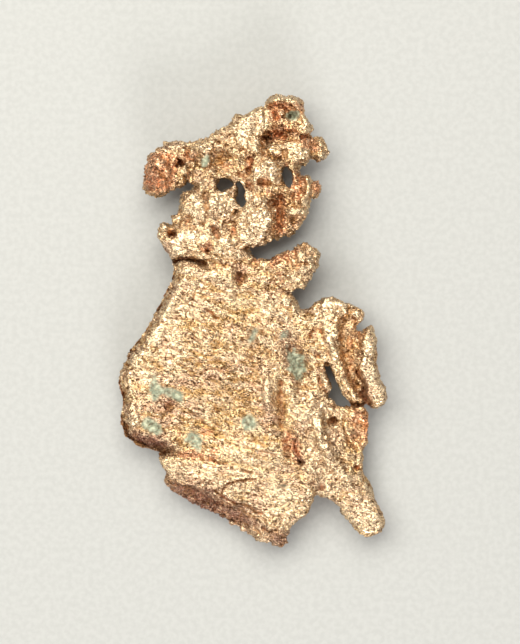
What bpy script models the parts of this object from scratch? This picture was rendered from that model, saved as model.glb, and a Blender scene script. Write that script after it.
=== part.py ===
"""Native copper nugget as one closed solid.

A flat, water-worn piece of native copper lying on its broad side. From the wide end to the narrow one: a
lower ledge with a small tip knob, a leg, the main plate, a folded loop, a side knob, a neck, a spongy
middle, a left arm and a crown. All of it grew as one piece.

Every length in the tables is in millimetres, in the part's frame: +Y runs the long way, +Z is up, and
the nugget stands on the worn flats under it at z = 0.
"""

import bmesh
import bpy
import numpy as np
from mathutils import kdtree

MM = 0.001
LENGTH = 90.5  # along Y, crown to tip knob
WIDTH = 53.8  # along X, plate's left bulge to loop's knob
VOXEL = 0.3  # grid that fuses the lobes into one skin
FACETS = 9400  # triangles kept in the finished skin

PLATE_TOP = 7.6
LEDGE_TOP = 7.4
LEG_TOP = 6.6
FOLD_TOP = 8.0
SPONGE_TOP = 8.6
ARM_TOP = 9.2
CROWN_TOP = 9.8

# ---------------------------------------------------------------------------------------------------
# Lobes: flat slabs that overlap. Each has (underside, top, edge rounding) and its outline as (x, y).
# ---------------------------------------------------------------------------------------------------
LOBES = {
    "main_plate": (1.2, PLATE_TOP, 2.1, [
        (-15.4, 12.0), (-15.8, 10.0), (-16.4, 7.8), (-17.6, 5.6), (-18.8, 3.4), (-20.2, 0.8), (-21.4, -1.5),
        (-23.0, -3.7), (-24.6, -5.5), (-25.2, -7.5), (-26.6, -9.9), (-26.9, -12.1), (-26.0, -14.2),
        (-25.9, -16.1), (-26.5, -18.1), (-26.2, -20.5), (-25.2, -22.7), (-23.0, -24.2), (-20.2, -25.1),
        (-17.0, -25.7), (-12.6, -27.2), (-6.2, -28.9), (1.8, -29.2), (7.4, -28.1), (10.4, -23.7),
        (13.0, -18.7), (13.8, -14.1), (14.6, -10.5), (13.8, -6.1), (14.6, -2.7), (14.2, 0.8), (12.6, 2.8),
        (9.8, 2.5), (8.8, 4.8), (7.8, 6.4), (6.2, 8.3), (3.8, 10.0), (1.0, 11.6), (-2.6, 12.4),
        (-8.6, 12.4)]),
    "lower_ledge": (0.9, LEDGE_TOP, 1.3, [
        (-18.6, -25.5), (-19.0, -26.7), (-17.8, -28.7), (-17.2, -30.0), (-17.8, -31.5), (-17.0, -33.2),
        (-13.8, -35.4), (-11.0, -36.9), (-7.8, -38.5), (-4.6, -40.4), (-1.8, -42.0), (0.6, -43.1),
        (2.6, -43.7), (4.6, -42.9), (7.0, -41.9), (7.4, -40.9), (9.2, -39.4), (11.2, -38.1), (12.1, -36.2),
        (12.4, -34.2), (13.8, -31.7), (13.0, -27.7), (9.4, -24.7), (1.4, -23.7), (-8.6, -23.7),
        (-14.6, -24.7)]),
    "right_leg": (1.0, LEG_TOP, 1.5, [
        (8.6, -18.7), (11.8, -15.2), (15.4, -15.5), (17.6, -16.2), (19.8, -16.9), (22.2, -16.8),
        (23.4, -17.9), (23.6, -20.5), (23.3, -23.7), (22.3, -25.5), (22.2, -28.1), (22.8, -30.9),
        (23.8, -33.5), (25.4, -36.1), (26.6, -38.2), (26.8, -39.9), (26.0, -41.7), (23.8, -42.7),
        (21.8, -42.2), (20.2, -40.5), (18.6, -38.8), (17.6, -38.2), (17.6, -36.6), (15.8, -35.4),
        (13.0, -34.1), (10.6, -30.1), (8.6, -24.7)]),
    "slit_bank": (1.6, 6.8, 0.8, [
        (13.0, -3.8), (15.2, -7.0), (16.6, -10.6), (17.0, -13.6), (16.6, -16.0), (13.4, -17.0),
        (10.6, -13.0), (11.0, -7.0)]),
    "fold_inner": (1.8, FOLD_TOP, 0.8, [
        (11.8, 3.2), (13.8, 4.5), (14.4, 5.2), (16.2, 5.2), (18.0, 4.4), (18.8, 3.6), (18.2, 0.8),
        (17.4, -2.7), (17.8, -6.7), (19.4, -10.7), (21.4, -14.7), (22.4, -16.4), (19.6, -16.6),
        (17.8, -14.9), (16.4, -12.6), (15.4, -10.2), (13.6, -8.2), (12.0, -5.0), (10.6, -0.7)]),
    "fold_floor": (1.4, 6.0, 0.6, [
        (16.0, 4.2), (19.4, 4.0), (21.0, 3.4), (22.3, 0.9), (21.1, -0.1), (20.8, -1.7), (22.0, -2.5),
        (23.2, -5.7), (23.6, -10.7), (23.4, -15.4), (21.0, -16.1), (18.6, -13.7), (16.6, -8.7),
        (15.0, -2.7)]),
    "fold_lip": (3.2, 7.4, 0.7, [
        (16.8, 4.2), (19.4, 4.0), (21.0, 3.5), (21.8, 2.9), (22.5, 1.2), (22.2, 0.1), (21.4, -0.2),
        (20.4, 0.8), (18.8, 2.0), (17.0, 2.2)]),
    "fold_outer": (1.2, 7.6, 0.9, [
        (20.9, -1.9), (22.2, -1.4), (23.0, -0.7), (23.6, -0.1), (24.4, -0.9), (24.9, -2.5), (24.9, -4.7),
        (24.7, -7.7), (25.0, -9.9), (26.2, -12.5), (26.9, -15.1), (26.2, -16.2), (25.2, -17.1),
        (24.0, -16.8), (23.0, -15.5), (22.2, -13.7), (21.6, -10.5), (21.6, -6.1)]),
    "side_knob": (2.0, 7.8, 1.2, [
        (1.0, 10.4), (0.6, 12.0), (1.4, 12.9), (2.6, 13.0), (3.8, 12.6), (5.4, 13.4), (7.4, 14.4),
        (9.2, 15.4), (11.0, 15.7), (12.4, 14.6), (13.5, 13.0), (12.9, 11.0), (12.2, 9.2), (11.1, 8.3),
        (10.5, 6.6), (9.2, 7.2), (7.8, 6.4), (5.4, 6.4), (3.0, 8.0)]),
    "neck": (1.4, 7.0, 1.2, [
        (-17.0, 13.6), (-15.8, 11.4), (-10.6, 9.3), (-2.6, 8.0), (2.2, 9.2), (1.0, 12.0), (0.2, 13.0),
        (-0.6, 14.6), (0.6, 16.8), (-1.6, 20.8), (-7.6, 22.0), (-13.6, 20.0), (-16.2, 16.4)]),
    "sponge": (1.6, SPONGE_TOP - 0.8, 0.9, [
        (-16.2, 12.8), (-18.0, 15.0), (-18.9, 17.2), (-18.8, 18.6), (-18.0, 20.0), (-16.6, 18.6),
        (-15.6, 19.2), (-15.8, 21.0), (-14.7, 22.2), (-14.2, 24.4), (-13.0, 25.8), (-11.4, 26.4),
        (-9.8, 28.4), (-6.0, 30.0), (1.0, 30.0), (5.4, 28.4), (7.0, 28.4), (9.0, 28.6),
        (10.4, 29.2), (11.6, 29.6), (12.2, 27.8), (11.6, 25.0), (11.0, 22.0), (10.0, 20.0), (9.4, 18.4),
        (7.0, 17.8), (5.2, 16.9), (3.6, 16.9), (3.0, 15.8), (1.0, 14.6), (-1.6, 14.7), (-2.6, 12.0),
        (-9.6, 12.0)]),
    "left_arm": (2.6, ARM_TOP - 1.2, 1.4, [
        (-21.9, 28.4), (-21.2, 30.8), (-20.0, 33.1), (-18.0, 35.0), (-16.0, 35.9), (-11.6, 35.6),
        (-9.0, 36.5), (-5.6, 35.4), (-4.2, 31.4), (-6.2, 28.4), (-9.2, 27.2), (-11.6, 27.4),
        (-13.4, 28.0), (-14.0, 27.0), (-15.8, 26.6), (-18.0, 25.1), (-20.4, 25.6), (-21.6, 27.0)]),
    "crown": (1.6, CROWN_TOP - 1.0, 1.2, [
        (-10.0, 35.4), (-7.8, 37.4), (-6.2, 38.2), (-4.6, 38.9), (-4.0, 40.7), (-1.4, 41.2), (0.6, 42.5),
        (1.8, 43.0), (2.6, 41.8), (3.1, 44.0), (4.8, 44.8), (7.2, 44.9), (8.2, 45.2), (9.6, 44.2),
        (10.0, 42.2), (11.0, 40.2), (11.7, 38.0), (11.4, 36.4), (10.8, 34.0), (11.2, 32.0), (9.4, 31.4),
        (9.4, 29.2), (7.8, 26.4), (6.2, 27.8), (5.4, 26.0), (1.8, 24.4), (-1.2, 24.4), (-1.4, 27.2),
        (-3.4, 28.4), (-7.0, 28.8), (-9.6, 30.8)]),
}

# Nodules: ellipsoids fused onto the lobes, as (x, y, z, x radius, y radius, z radius).
NODULES = [
    # left arm: the big end lobe, its shoulder, and the row of grains along its back
    (-17.9, 30.0, 6.4, 3.7, 4.1, 3.2), (-19.6, 27.8, 5.4, 2.5, 2.5, 2.3), (-11.6, 33.6, 7.0, 2.6, 2.4, 2.4),
    (-13.6, 30.0, 7.0, 1.9, 2.2, 2.0), (-18.4, 34.1, 7.2, 1.0, 0.9, 0.9), (-16.2, 34.9, 7.4, 1.0, 0.9, 0.9),
    (-13.8, 35.0, 7.6, 1.0, 0.9, 0.9), (-11.2, 35.2, 7.8, 1.0, 0.8, 0.9), (-8.6, 35.8, 8.0, 1.1, 0.9, 0.9),
    (-6.0, 37.0, 8.0, 1.2, 1.0, 1.0), (-3.6, 38.4, 8.0, 1.2, 1.0, 1.0),
    # spongy middle: two broad blisters, a tongue, the small left knob, the right ridge and its knob
    (-7.6, 23.4, 6.4, 3.9, 3.5, 2.5), (1.8, 20.2, 6.4, 4.2, 4.4, 2.7), (-12.2, 22.8, 6.2, 2.2, 3.0, 2.2),
    (-17.6, 18.0, 4.6, 1.5, 1.7, 1.7), (-0.6, 16.6, 6.2, 2.8, 1.8, 1.9), (-10.0, 16.6, 6.2, 3.6, 2.2, 1.7),
    (10.4, 26.2, 6.4, 1.3, 2.8, 1.9), (12.6, 26.9, 5.4, 1.7, 1.9, 1.7), (8.6, 22.2, 6.8, 2.2, 1.2, 1.6),
    (7.0, 18.9, 5.4, 1.8, 1.4, 1.7), (8.2, 29.4, 7.4, 0.9, 1.7, 1.2),
    # crown: top lobe, right ridge and knobs, the slope down to the arm, the inner plate
    (5.6, 43.2, 7.4, 2.6, 2.0, 2.4), (9.0, 42.4, 6.6, 1.7, 2.1, 2.2), (10.4, 38.4, 7.2, 1.4, 2.2, 2.2),
    (13.0, 34.7, 5.6, 2.1, 2.4, 2.1), (9.6, 34.2, 7.6, 2.2, 2.2, 2.0), (-0.6, 39.4, 7.0, 2.6, 2.0, 2.1),
    (0.4, 35.4, 8.0, 2.2, 2.4, 1.7), (3.6, 30.8, 7.6, 2.8, 2.6, 2.0), (-1.0, 30.8, 7.6, 1.6, 2.4, 1.7),
    (5.6, 35.4, 7.8, 1.4, 1.2, 1.3),
    # side knob: its rough outer lump and the stalk
    (9.8, 11.6, 5.6, 3.0, 2.9, 2.6), (10.8, 14.0, 5.4, 1.7, 1.5, 1.9), (3.6, 11.4, 5.4, 2.4, 1.4, 2.0),
    # loop: knob at the foot of its outer ridge, and its top corner
    (24.8, -14.8, 4.8, 1.9, 2.1, 2.4), (14.8, 3.6, 6.2, 1.5, 1.4, 1.7), (22.0, 1.6, 5.6, 1.0, 1.1, 1.3),
    # leaf-like lump beside the slit, and the leg's worn round tip
    (14.7, -12.2, 6.2, 1.3, 1.7, 1.2), (24.6, -39.8, 4.2, 2.2, 2.6, 2.4),
    # tip knob under the ledge
    (5.4, -43.5, 3.2, 2.1, 1.75, 2.0), (6.6, -41.6, 3.4, 1.1, 1.2, 1.5),
    # feet: worn bosses on the underside
    (-17.0, -8.0, 1.6, 5.0, 6.5, 2.3), (-4.0, -34.0, 1.4, 5.5, 4.2, 2.5), (22.2, -35.0, 2.8, 2.8, 5.4, 2.5),
    (4.0, 35.0, 1.6, 5.4, 5.4, 3.2), (3.0, -6.0, 1.4, 5.0, 7.0, 1.9), (23.2, -10.0, 2.2, 1.6, 4.6, 2.4),
]

# Ridges: tapering tubes along a path of (x, y, z, radius).
RIDGES = {
    "fold_crest": [(15.4, 4.2, 6.6, 0.9), (15.2, 0.6, 7.2, 1.1), (15.4, -3.4, 7.2, 1.1),
                   (16.6, -7.4, 6.8, 1.0), (18.9, -12.2, 6.2, 1.0), (20.8, -15.0, 5.4, 0.8)],
    "outer_crest": [(23.6, -1.2, 6.2, 0.9), (23.4, -5.4, 6.8, 1.1), (23.4, -10.4, 6.6, 1.1),
                    (25.0, -14.6, 6.0, 1.3)],
    "plate_crest": [(3.0, -9.0, 7.0, 0.8), (2.6, -13.6, 7.4, 1.2), (3.4, -18.4, 7.2, 0.9)],
    "leg_crest": [(12.6, -16.6, 6.0, 1.0), (13.2, -21.0, 6.6, 1.5), (15.4, -27.0, 6.4, 1.6),
                  (19.6, -32.0, 5.6, 1.5), (23.6, -37.6, 4.8, 1.4)],
    "ledge_crest": [(-17.4, -30.6, 6.2, 0.9), (-12.6, -31.8, 6.9, 1.1), (-7.6, -33.4, 7.1, 1.1),
                    (-1.0, -35.8, 6.6, 1.0), (4.4, -38.4, 5.4, 0.9)],
    "crescent": [(6.4, 28.4, 7.2, 0.6), (7.8, 27.0, 7.6, 0.9), (8.4, 24.8, 7.6, 0.9), (7.4, 22.6, 7.4, 0.8)],
}

# Openings cut right through, each an outline of (x, y).
HOLES = {
    "slit": [(14.8, -7.6), (15.4, -8.5), (16.0, -9.6), (16.4, -10.7), (16.8, -11.7), (17.2, -12.8),
             (17.6, -13.7), (18.4, -14.6), (19.0, -15.2), (19.4, -15.6), (20.0, -16.0), (21.0, -16.1),
             (22.2, -16.2), (23.0, -16.2), (23.6, -16.7), (24.6, -17.4), (24.0, -18.1), (23.2, -17.4),
             (22.2, -16.9), (21.4, -16.8), (20.2, -16.8), (19.4, -16.7), (18.4, -16.6), (17.6, -16.2),
             (16.8, -15.7), (16.2, -15.2), (15.6, -15.5), (15.0, -15.1), (15.0, -14.2), (15.6, -14.0),
             (16.0, -13.6), (16.0, -13.0), (15.8, -12.1), (15.4, -11.1), (15.0, -9.9), (14.5, -8.8),
             (14.4, -8.1), (14.1, -7.0)],
    "neck_hole": [(-7.2, 28.3), (-5.4, 28.6), (-3.8, 27.6), (-4.9, 26.5), (-6.5, 25.6), (-7.0, 26.9)],
    "slot_hole": [(-3.4, 27.7), (-2.3, 27.1), (-1.7, 25.9), (-1.5, 24.7), (-1.2, 23.6), (-2.2, 22.5),
                  (-3.1, 23.4), (-3.4, 24.6), (-3.0, 25.7), (-3.2, 26.7)],
    "crown_hole": [(6.0, 31.2), (6.9, 30.8), (7.7, 30.2), (7.9, 28.7), (7.7, 27.4), (7.6, 26.5),
                   (6.9, 26.9), (6.3, 28.2), (6.1, 29.4)],
}

# Crevices and pits carved from above: path of (x, y, bottom z) with a half width.
CREVICES = {
    "neck_crack": (0.4, [(-16.2, 12.2, 3.4), (-14.4, 12.7, 3.6), (-12.4, 12.6, 3.8), (-10.4, 12.1, 4.2),
                         (-9.2, 11.2, 5.2)]),
    "arm_crevice": (0.4, [(-13.6, 29.4, 5.2), (-13.0, 27.4, 3.4), (-12.2, 26.9, 3.4), (-10.8, 26.9, 4.8)]),
    "side_notch": (0.4, [(2.2, 14.6, 1.0), (0.0, 14.5, 2.0), (-1.8, 14.7, 3.6)]),
    "loop_crevice": (0.36, [(23.6, -16.6, 1.6), (22.6, -14.8, 2.6), (22.1, -12.0, 3.6), (21.7, -9.0, 4.8)]),
    "plate_step": (0.4, [(-19.2, -25.7, 3.2), (-15.8, -25.9, 4.2), (-12.0, -26.6, 4.8), (-7.6, -27.6, 5.4)]),
    "left_nick": (0.5, [(-16.9, 21.4, 1.0), (-16.5, 19.9, 2.2)]),
    "knob_crease": (0.36, [(8.6, 7.4, 5.0), (8.2, 9.0, 6.2)]),
    "crown_slot": (0.4, [(-0.7, 32.6, 6.8), (-0.5, 31.0, 6.0), (-0.7, 29.6, 6.6)]),
    "blister_edge": (0.36, [(6.8, 24.2, 6.0), (6.2, 22.8, 5.2), (6.1, 21.6, 5.6)]),
    "leg_crease": (0.4, [(7.4, -22.8, 5.2), (8.6, -25.4, 4.6), (9.8, -27.8, 4.2)]),
}
PITS = [
    # x, y, bottom z, radius
    (9.8, -27.8, 3.6, 0.6), (16.2, -19.4, 3.8, 0.7), (-14.6, 31.7, 5.6, 0.9), (-3.5, 22.4, 5.6, 0.6),
    (2.4, 27.2, 6.2, 0.7), (7.8, 40.9, 6.8, 1.2), (-2.4, 9.6, 5.0, 0.8), (3.1, 36.6, 5.6, 1.1),
    (7.0, 37.8, 6.4, 0.7), (-0.5, 27.2, 5.8, 0.9), (-9.3, 30.8, 6.0, 0.7), (-9.6, 19.7, 5.6, 0.7),
    (-5.2, 19.2, 5.8, 0.7), (-8.8, 14.4, 5.8, 0.8), (-16.0, 17.7, 4.2, 0.9), (0.2, 33.0, 7.0, 0.6),
    (6.4, 33.6, 7.0, 0.6), (12.4, 32.6, 4.4, 0.6), (20.6, -28.0, 3.4, 0.5), (21.0, -28.9, 3.2, 0.5),
]

# Swells and hollows in the upper face, each a soft mound: (x, y, x reach, y reach, turn in degrees, height).
SWELLS = [
    (-6.6, 32.3, 2.2, 1.9, 0, -1.0), (4.9, 21.0, 0.8, 3.6, -6, -1.2), (4.4, 24.4, 0.8, 1.4, 20, -0.8),
    (-12.0, -4.0, 9.0, 8.0, 0, 0.55), (-21.0, -20.0, 5.0, 4.0, 0, -0.45),
    (-10.0, -22.0, 9.0, 4.0, -8, -0.95), (-17.0, -16.0, 2.6, 3.0, 0, -0.5),
    (-16.6, 5.0, 1.6, 5.0, -12, 0.45), (-22.0, -4.6, 3.4, 1.6, 50, 0.35),
    (2.0, 3.0, 5.0, 4.0, 0, -0.5), (9.6, -9.4, 2.6, 4.6, 10, -1.5), (6.0, -15.6, 0.9, 4.6, -4, -1.2),
    (7.6, -24.2, 1.5, 3.8, 14, -1.3), (0.0, -12.0, 3.0, 3.0, 0, -0.4), (11.0, 3.0, 2.0, 2.0, 0, -0.8),
    (12.6, -2.4, 1.2, 1.2, 0, -0.9), (-14.0, -28.4, 5.0, 1.4, -8, -0.3), (21.6, -21.4, 2.4, 3.6, -10, -1.5),
    (16.6, -20.0, 2.0, 2.0, 0, -0.4), (-5.0, 31.0, 3.6, 2.4, 0, -1.0), (5.4, 37.0, 3.2, 1.1, 8, -1.5),
    (3.0, 36.8, 1.6, 1.0, 0, -0.8), (-0.4, 27.2, 0.8, 1.2, 0, -1.2), (-2.4, 9.4, 1.4, 1.4, 0, -0.7),
    (19.0, -6.0, 1.4, 5.0, 6, -0.4), (-8.0, 12.0, 8.0, 1.0, -3, -0.7), (7.0, 25.0, 1.4, 2.0, 0, -0.9),
    (4.6, 16.0, 1.6, 1.4, 0, -0.8), (5.0, 8.6, 1.6, 2.2, 40, -0.9), (-13.4, 8.0, 2.6, 3.6, 0, 0.3),
    (3.4, 1.8, 1.6, 3.6, 0, 0.4), (-2.0, -25.0, 5.0, 3.0, 0, 0.3),
]

# Plates that stand up from the spongy half, each a lift and an outline of (x, y).
PLATES = {
    "broad_blister": (0.55, [(-2.6, 22.0), (-1.4, 22.8), (-0.6, 23.6), (0.4, 24.8), (1.8, 25.2),
        (3.0, 24.6), (3.6, 23.4), (4.6, 22.6), (5.0, 21.6), (4.6, 20.6), (3.6, 19.4), (3.4, 17.9),
        (3.0, 16.8), (1.8, 15.8), (-0.2, 15.2), (-2.0, 15.4), (-3.0, 16.8), (-3.4, 18.4),
        (-3.2, 20.0)]),
    "left_blister": (0.35, [(-9.0, 25.2), (-7.8, 26.0), (-6.2, 25.6), (-4.6, 26.4), (-3.2, 25.8),
        (-3.0, 24.4), (-2.8, 23.0), (-4.0, 22.0), (-4.6, 20.8), (-5.4, 20.0), (-6.2, 18.8),
        (-7.4, 19.2), (-8.2, 20.8), (-8.8, 22.8)]),
    "tongue": (0.45, [(-13.0, 25.2), (-12.0, 26.0), (-11.0, 25.4), (-10.6, 24.0), (-9.6, 23.2),
        (-9.6, 20.4), (-11.0, 20.0), (-12.6, 20.8), (-13.8, 21.6), (-14.6, 22.2), (-14.6, 23.4),
        (-14.2, 24.4)]),
    "low_shelf": (0.35, [(-18.6, 16.4), (-16.6, 16.6), (-15.2, 17.6), (-13.8, 18.4), (-11.4, 18.4),
        (-9.4, 18.2), (-7.8, 17.2), (-6.6, 15.8), (-5.4, 14.4), (-7.0, 13.6), (-10.6, 14.4),
        (-12.2, 14.0), (-14.0, 13.4), (-16.0, 13.6), (-17.6, 14.6)]),
    "small_plate": (0.6, [(6.4, 22.4), (7.8, 22.8), (9.4, 22.6), (10.6, 22.4), (10.8, 21.2),
        (9.4, 20.7), (7.8, 21.0), (6.8, 21.4)]),
    "right_ridge": (0.4, [(9.8, 28.8), (10.6, 29.8), (11.6, 29.4), (12.0, 27.8), (11.6, 26.0),
        (11.2, 24.4), (11.0, 23.0), (9.6, 22.8), (9.4, 24.4), (10.0, 26.4)]),
    "inner_plate": (0.35, [(-0.2, 29.2), (0.6, 30.8), (1.8, 31.8), (3.4, 32.4), (5.0, 32.0),
        (5.4, 30.4), (5.4, 28.8), (6.0, 27.6), (4.6, 27.2), (3.0, 28.2), (1.4, 28.2), (0.2, 28.0)]),
    "right_plate": (0.4, [(6.2, 35.0), (7.2, 36.0), (8.2, 36.4), (9.4, 35.8), (11.0, 35.1),
        (11.8, 34.0), (11.4, 32.4), (9.8, 32.0), (8.6, 31.2), (7.4, 31.8), (7.0, 33.1), (6.6, 34.4)]),
    "crown_slope": (0.35, [(-4.6, 40.8), (-2.6, 41.2), (-0.6, 42.0), (1.0, 42.8), (2.2, 41.8),
        (3.0, 40.4), (3.4, 38.8), (2.2, 37.8), (1.6, 36.1), (1.8, 34.4), (0.4, 33.1), (-1.4, 33.6),
        (-2.4, 35.1), (-3.4, 36.8), (-5.0, 37.6), (-5.8, 38.8)]),
    "crown_edge": (0.45, [(9.4, 41.2), (10.6, 41.0), (11.2, 39.6), (11.2, 38.6), (11.8, 38.1),
        (11.6, 37.4), (9.8, 37.1), (8.6, 38.1), (9.4, 39.2), (9.6, 40.2)]),
    "cap": (0.4, [(3.0, 44.2), (4.6, 44.8), (6.6, 45.0), (8.6, 44.8), (9.6, 43.8), (9.6, 42.0),
        (8.6, 42.0), (7.4, 43.4), (5.8, 43.6), (4.2, 43.2), (3.0, 43.2)]),
    "arm_band": (0.35, [(-18.6, 34.1), (-16.6, 35.6), (-13.6, 35.8), (-10.6, 35.6), (-9.0, 34.8),
        (-9.4, 34.0), (-11.4, 34.4), (-13.0, 34.0), (-13.8, 32.8), (-15.4, 32.4), (-17.0, 33.1),
        (-18.4, 33.1)]),
}

# Pockets sunk between them, each a depth and an outline of (x, y).
POCKETS = {
    "crown_valley": (1.1, [(1.8, 36.6), (3.0, 37.6), (4.4, 38.1), (5.4, 38.8), (6.6, 38.4),
        (7.6, 37.8), (7.0, 36.6), (5.6, 36.1), (4.6, 36.6), (3.6, 36.0), (2.6, 35.1), (1.8, 35.6)]),
    "under_cap": (0.7, [(3.0, 43.0), (4.6, 43.2), (6.2, 43.4), (7.4, 43.0), (6.6, 42.4), (4.6, 42.2),
        (3.4, 41.8)]),
    "gold_hollow": (0.8, [(-8.4, 34.0), (-7.0, 34.4), (-5.4, 34.0), (-4.6, 32.8), (-5.4, 31.2),
        (-7.0, 30.6), (-8.2, 31.4), (-8.6, 32.8)]),
    "arm_pit": (1.2, [(-15.2, 32.4), (-13.8, 32.4), (-13.8, 31.4), (-14.6, 31.0), (-15.4, 31.6)]),
    "channel": (0.8, [(3.6, 24.4), (4.8, 23.4), (5.2, 22.0), (4.8, 20.4), (4.0, 18.8), (3.8, 17.4),
        (5.2, 17.2), (6.0, 18.8), (6.4, 20.4), (6.0, 22.4), (6.2, 23.8), (7.0, 25.2), (6.2, 25.4),
        (5.0, 24.6)]),
    "grey_recess": (0.5, [(7.2, -5.2), (8.6, -4.5), (10.0, -5.7), (10.6, -7.7), (10.4, -10.5),
        (9.6, -12.2), (8.6, -10.9), (7.6, -8.1)]),
}
PLATE_EDGE = 0.7  # the rise or fall at an outline takes this much room

# The ledge's outer side falls away from this crest line, given as x and y.
LEDGE_CREST = ([-19.0, -12.6, -8.2, -6.2, -1.6, 1.8], [-30.7, -31.9, -33.1, -34.1, -36.2, -38.6])
LEDGE_FALL = 4.0  # how far it drops
LEDGE_REACH = 4.8  # over this distance in plan

# The whole body is bowed: these mounds lift the underside and the top alike.
BOWS = [
    (-19.5, 30.0, 7.0, 7.0, 0, 1.7), (10.0, 12.0, 5.0, 5.0, 0, 1.2), (20.0, 2.0, 6.0, 6.0, 0, 0.8),
    (-8.0, 16.0, 9.0, 8.0, 0, 0.7), (6.0, 45.0, 5.0, 5.0, 0, 0.9), (-24.0, -22.0, 7.0, 6.0, 0, 0.8),
    (14.0, -24.0, 7.0, 6.0, 0, 0.6), (13.0, 27.0, 4.0, 4.0, 0, 0.6),
]
EDGE_LIFT = 1.5  # the underside curls up this much at the outline
EDGE_REACH = 3.4
UNDERCUT = 1.7  # the sides draw in this much at the foot
WAIST = 5.2  # height of the widest outline

# Hollows (up) and bulges (down) of the underside.
BELLY = [
    (-12.0, -17.0, 5.0, 6.0, 20, 1.3), (-6.0, 4.0, 5.0, 5.0, 0, 1.1), (8.0, -18.0, 4.0, 7.0, -15, 1.2),
    (-18.0, -4.0, 4.0, 6.0, 0, -0.5), (4.0, -32.0, 5.0, 4.0, 30, 0.9), (-9.0, 19.0, 5.0, 4.0, 0, 1.0),
    (3.0, 20.0, 3.0, 3.0, 0, -0.6), (-9.0, 32.0, 4.0, 3.0, 0, 0.9), (5.0, 6.0, 3.0, 4.0, 30, 0.8),
    (-2.0, -24.0, 4.0, 3.0, 0, -0.7), (16.0, -24.0, 4.0, 3.0, 0, 0.9),
]


def new_collection(name):
    made = bpy.data.collections.new(name)
    bpy.context.scene.collection.children.link(made)
    return made


def slab(name, low, high, rounding, outline, into):
    """A filled outline made into a slab between two heights, its edges rounded."""
    curve = bpy.data.curves.new(name, "CURVE")
    curve.dimensions = "2D"
    curve.fill_mode = "BOTH"
    curve.extrude = ((high - low) / 2 - rounding) * MM
    curve.bevel_depth = rounding * MM
    curve.bevel_resolution = 3
    curve.offset = -rounding * MM
    spline = curve.splines.new("POLY")
    spline.points.add(len(outline) - 1)
    for point, (x, y) in zip(spline.points, outline):
        point.co = (x * MM, y * MM, 0, 1)
    spline.use_cyclic_u = True
    made = bpy.data.objects.new(name, curve)
    made.location.z = (low + high) / 2 * MM
    into.objects.link(made)
    return made


def tube(name, path, into):
    """A tube along (x, y, z, radius), smooth between its points."""
    curve = bpy.data.curves.new(name, "CURVE")
    curve.dimensions = "3D"
    curve.bevel_depth = MM
    curve.bevel_resolution = 3
    curve.use_fill_caps = True
    curve.resolution_u = 4
    spline = curve.splines.new("NURBS")
    spline.points.add(len(path) - 1)
    for point, (x, y, z, radius) in zip(spline.points, path):
        point.co = (x * MM, y * MM, z * MM, 1)
        point.radius = radius
    spline.order_u = 3
    spline.use_endpoint_u = True
    made = bpy.data.objects.new(name, curve)
    into.objects.link(made)
    return made


def ball(name, place, radii, into):
    mesh = bpy.data.meshes.new(name)
    shape = bmesh.new()
    bmesh.ops.create_icosphere(shape, subdivisions=3, radius=1)
    bmesh.ops.scale(shape, vec=[r * MM for r in radii], verts=shape.verts)
    bmesh.ops.translate(shape, vec=[c * MM for c in place], verts=shape.verts)
    shape.to_mesh(mesh)
    shape.free()
    made = bpy.data.objects.new(name, mesh)
    into.objects.link(made)
    return made


def baked(objects):
    """One mesh holding all these objects as they evaluate."""
    graph = bpy.context.evaluated_depsgraph_get()
    all_of = bmesh.new()
    for obj in objects:
        shape = obj.evaluated_get(graph)
        mesh = shape.to_mesh()
        mesh.transform(obj.matrix_world)
        all_of.from_mesh(mesh)
        shape.to_mesh_clear()
    mesh = bpy.data.meshes.new("baked")
    all_of.to_mesh(mesh)
    all_of.free()
    return mesh


def settle(obj):
    """Replaces the object's mesh by what its modifiers make of it."""
    graph = bpy.context.evaluated_depsgraph_get()
    obj.data = bpy.data.meshes.new_from_object(obj.evaluated_get(graph))
    obj.modifiers.clear()


def fuse(obj, voxel):
    remesh = obj.modifiers.new("fuse", "REMESH")
    remesh.mode = "VOXEL"
    remesh.voxel_size = voxel * MM
    settle(obj)


def smooth(obj, factor, times):
    soften = obj.modifiers.new("soften", "SMOOTH")
    soften.factor = factor
    soften.iterations = times
    settle(obj)


def points_of(obj):
    """Vertex places and normals, in millimetres."""
    mesh = obj.data
    places = np.empty(len(mesh.vertices) * 3)
    mesh.vertices.foreach_get("co", places)
    normals = np.empty(len(mesh.vertices) * 3, np.float32)
    mesh.vertex_normals.foreach_get("vector", normals)
    return places.reshape(-1, 3) / MM, normals.reshape(-1, 3).astype(float)


def put_points(obj, places):
    obj.data.vertices.foreach_set("co", (places * MM).ravel())
    obj.data.update()


def keep_largest(obj):
    """Drops every loose island but the one with the most faces."""
    shape = bmesh.new()
    shape.from_mesh(obj.data)
    left = set(shape.verts)
    islands = []
    while left:
        stack = [left.pop()]
        island = list(stack)
        while stack:
            for edge in stack.pop().link_edges:
                for vert in edge.verts:
                    if vert in left:
                        left.remove(vert)
                        stack.append(vert)
                        island.append(vert)
        islands.append(island)
    islands.sort(key=len)
    for island in islands[:-1]:
        bmesh.ops.delete(shape, geom=island, context="VERTS")
    shape.to_mesh(obj.data)
    shape.free()


def mound(places, x, y, reach_x, reach_y, turn, height):
    """A soft mound over the plan: height times a bell of the distance measured in reaches."""
    angle = np.radians(turn)
    dx = places[:, 0] - x
    dy = places[:, 1] - y
    along = (dx * np.cos(angle) + dy * np.sin(angle)) / reach_x
    across = (dy * np.cos(angle) - dx * np.sin(angle)) / reach_y
    return height * np.exp(-(along**2 + across**2))


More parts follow.
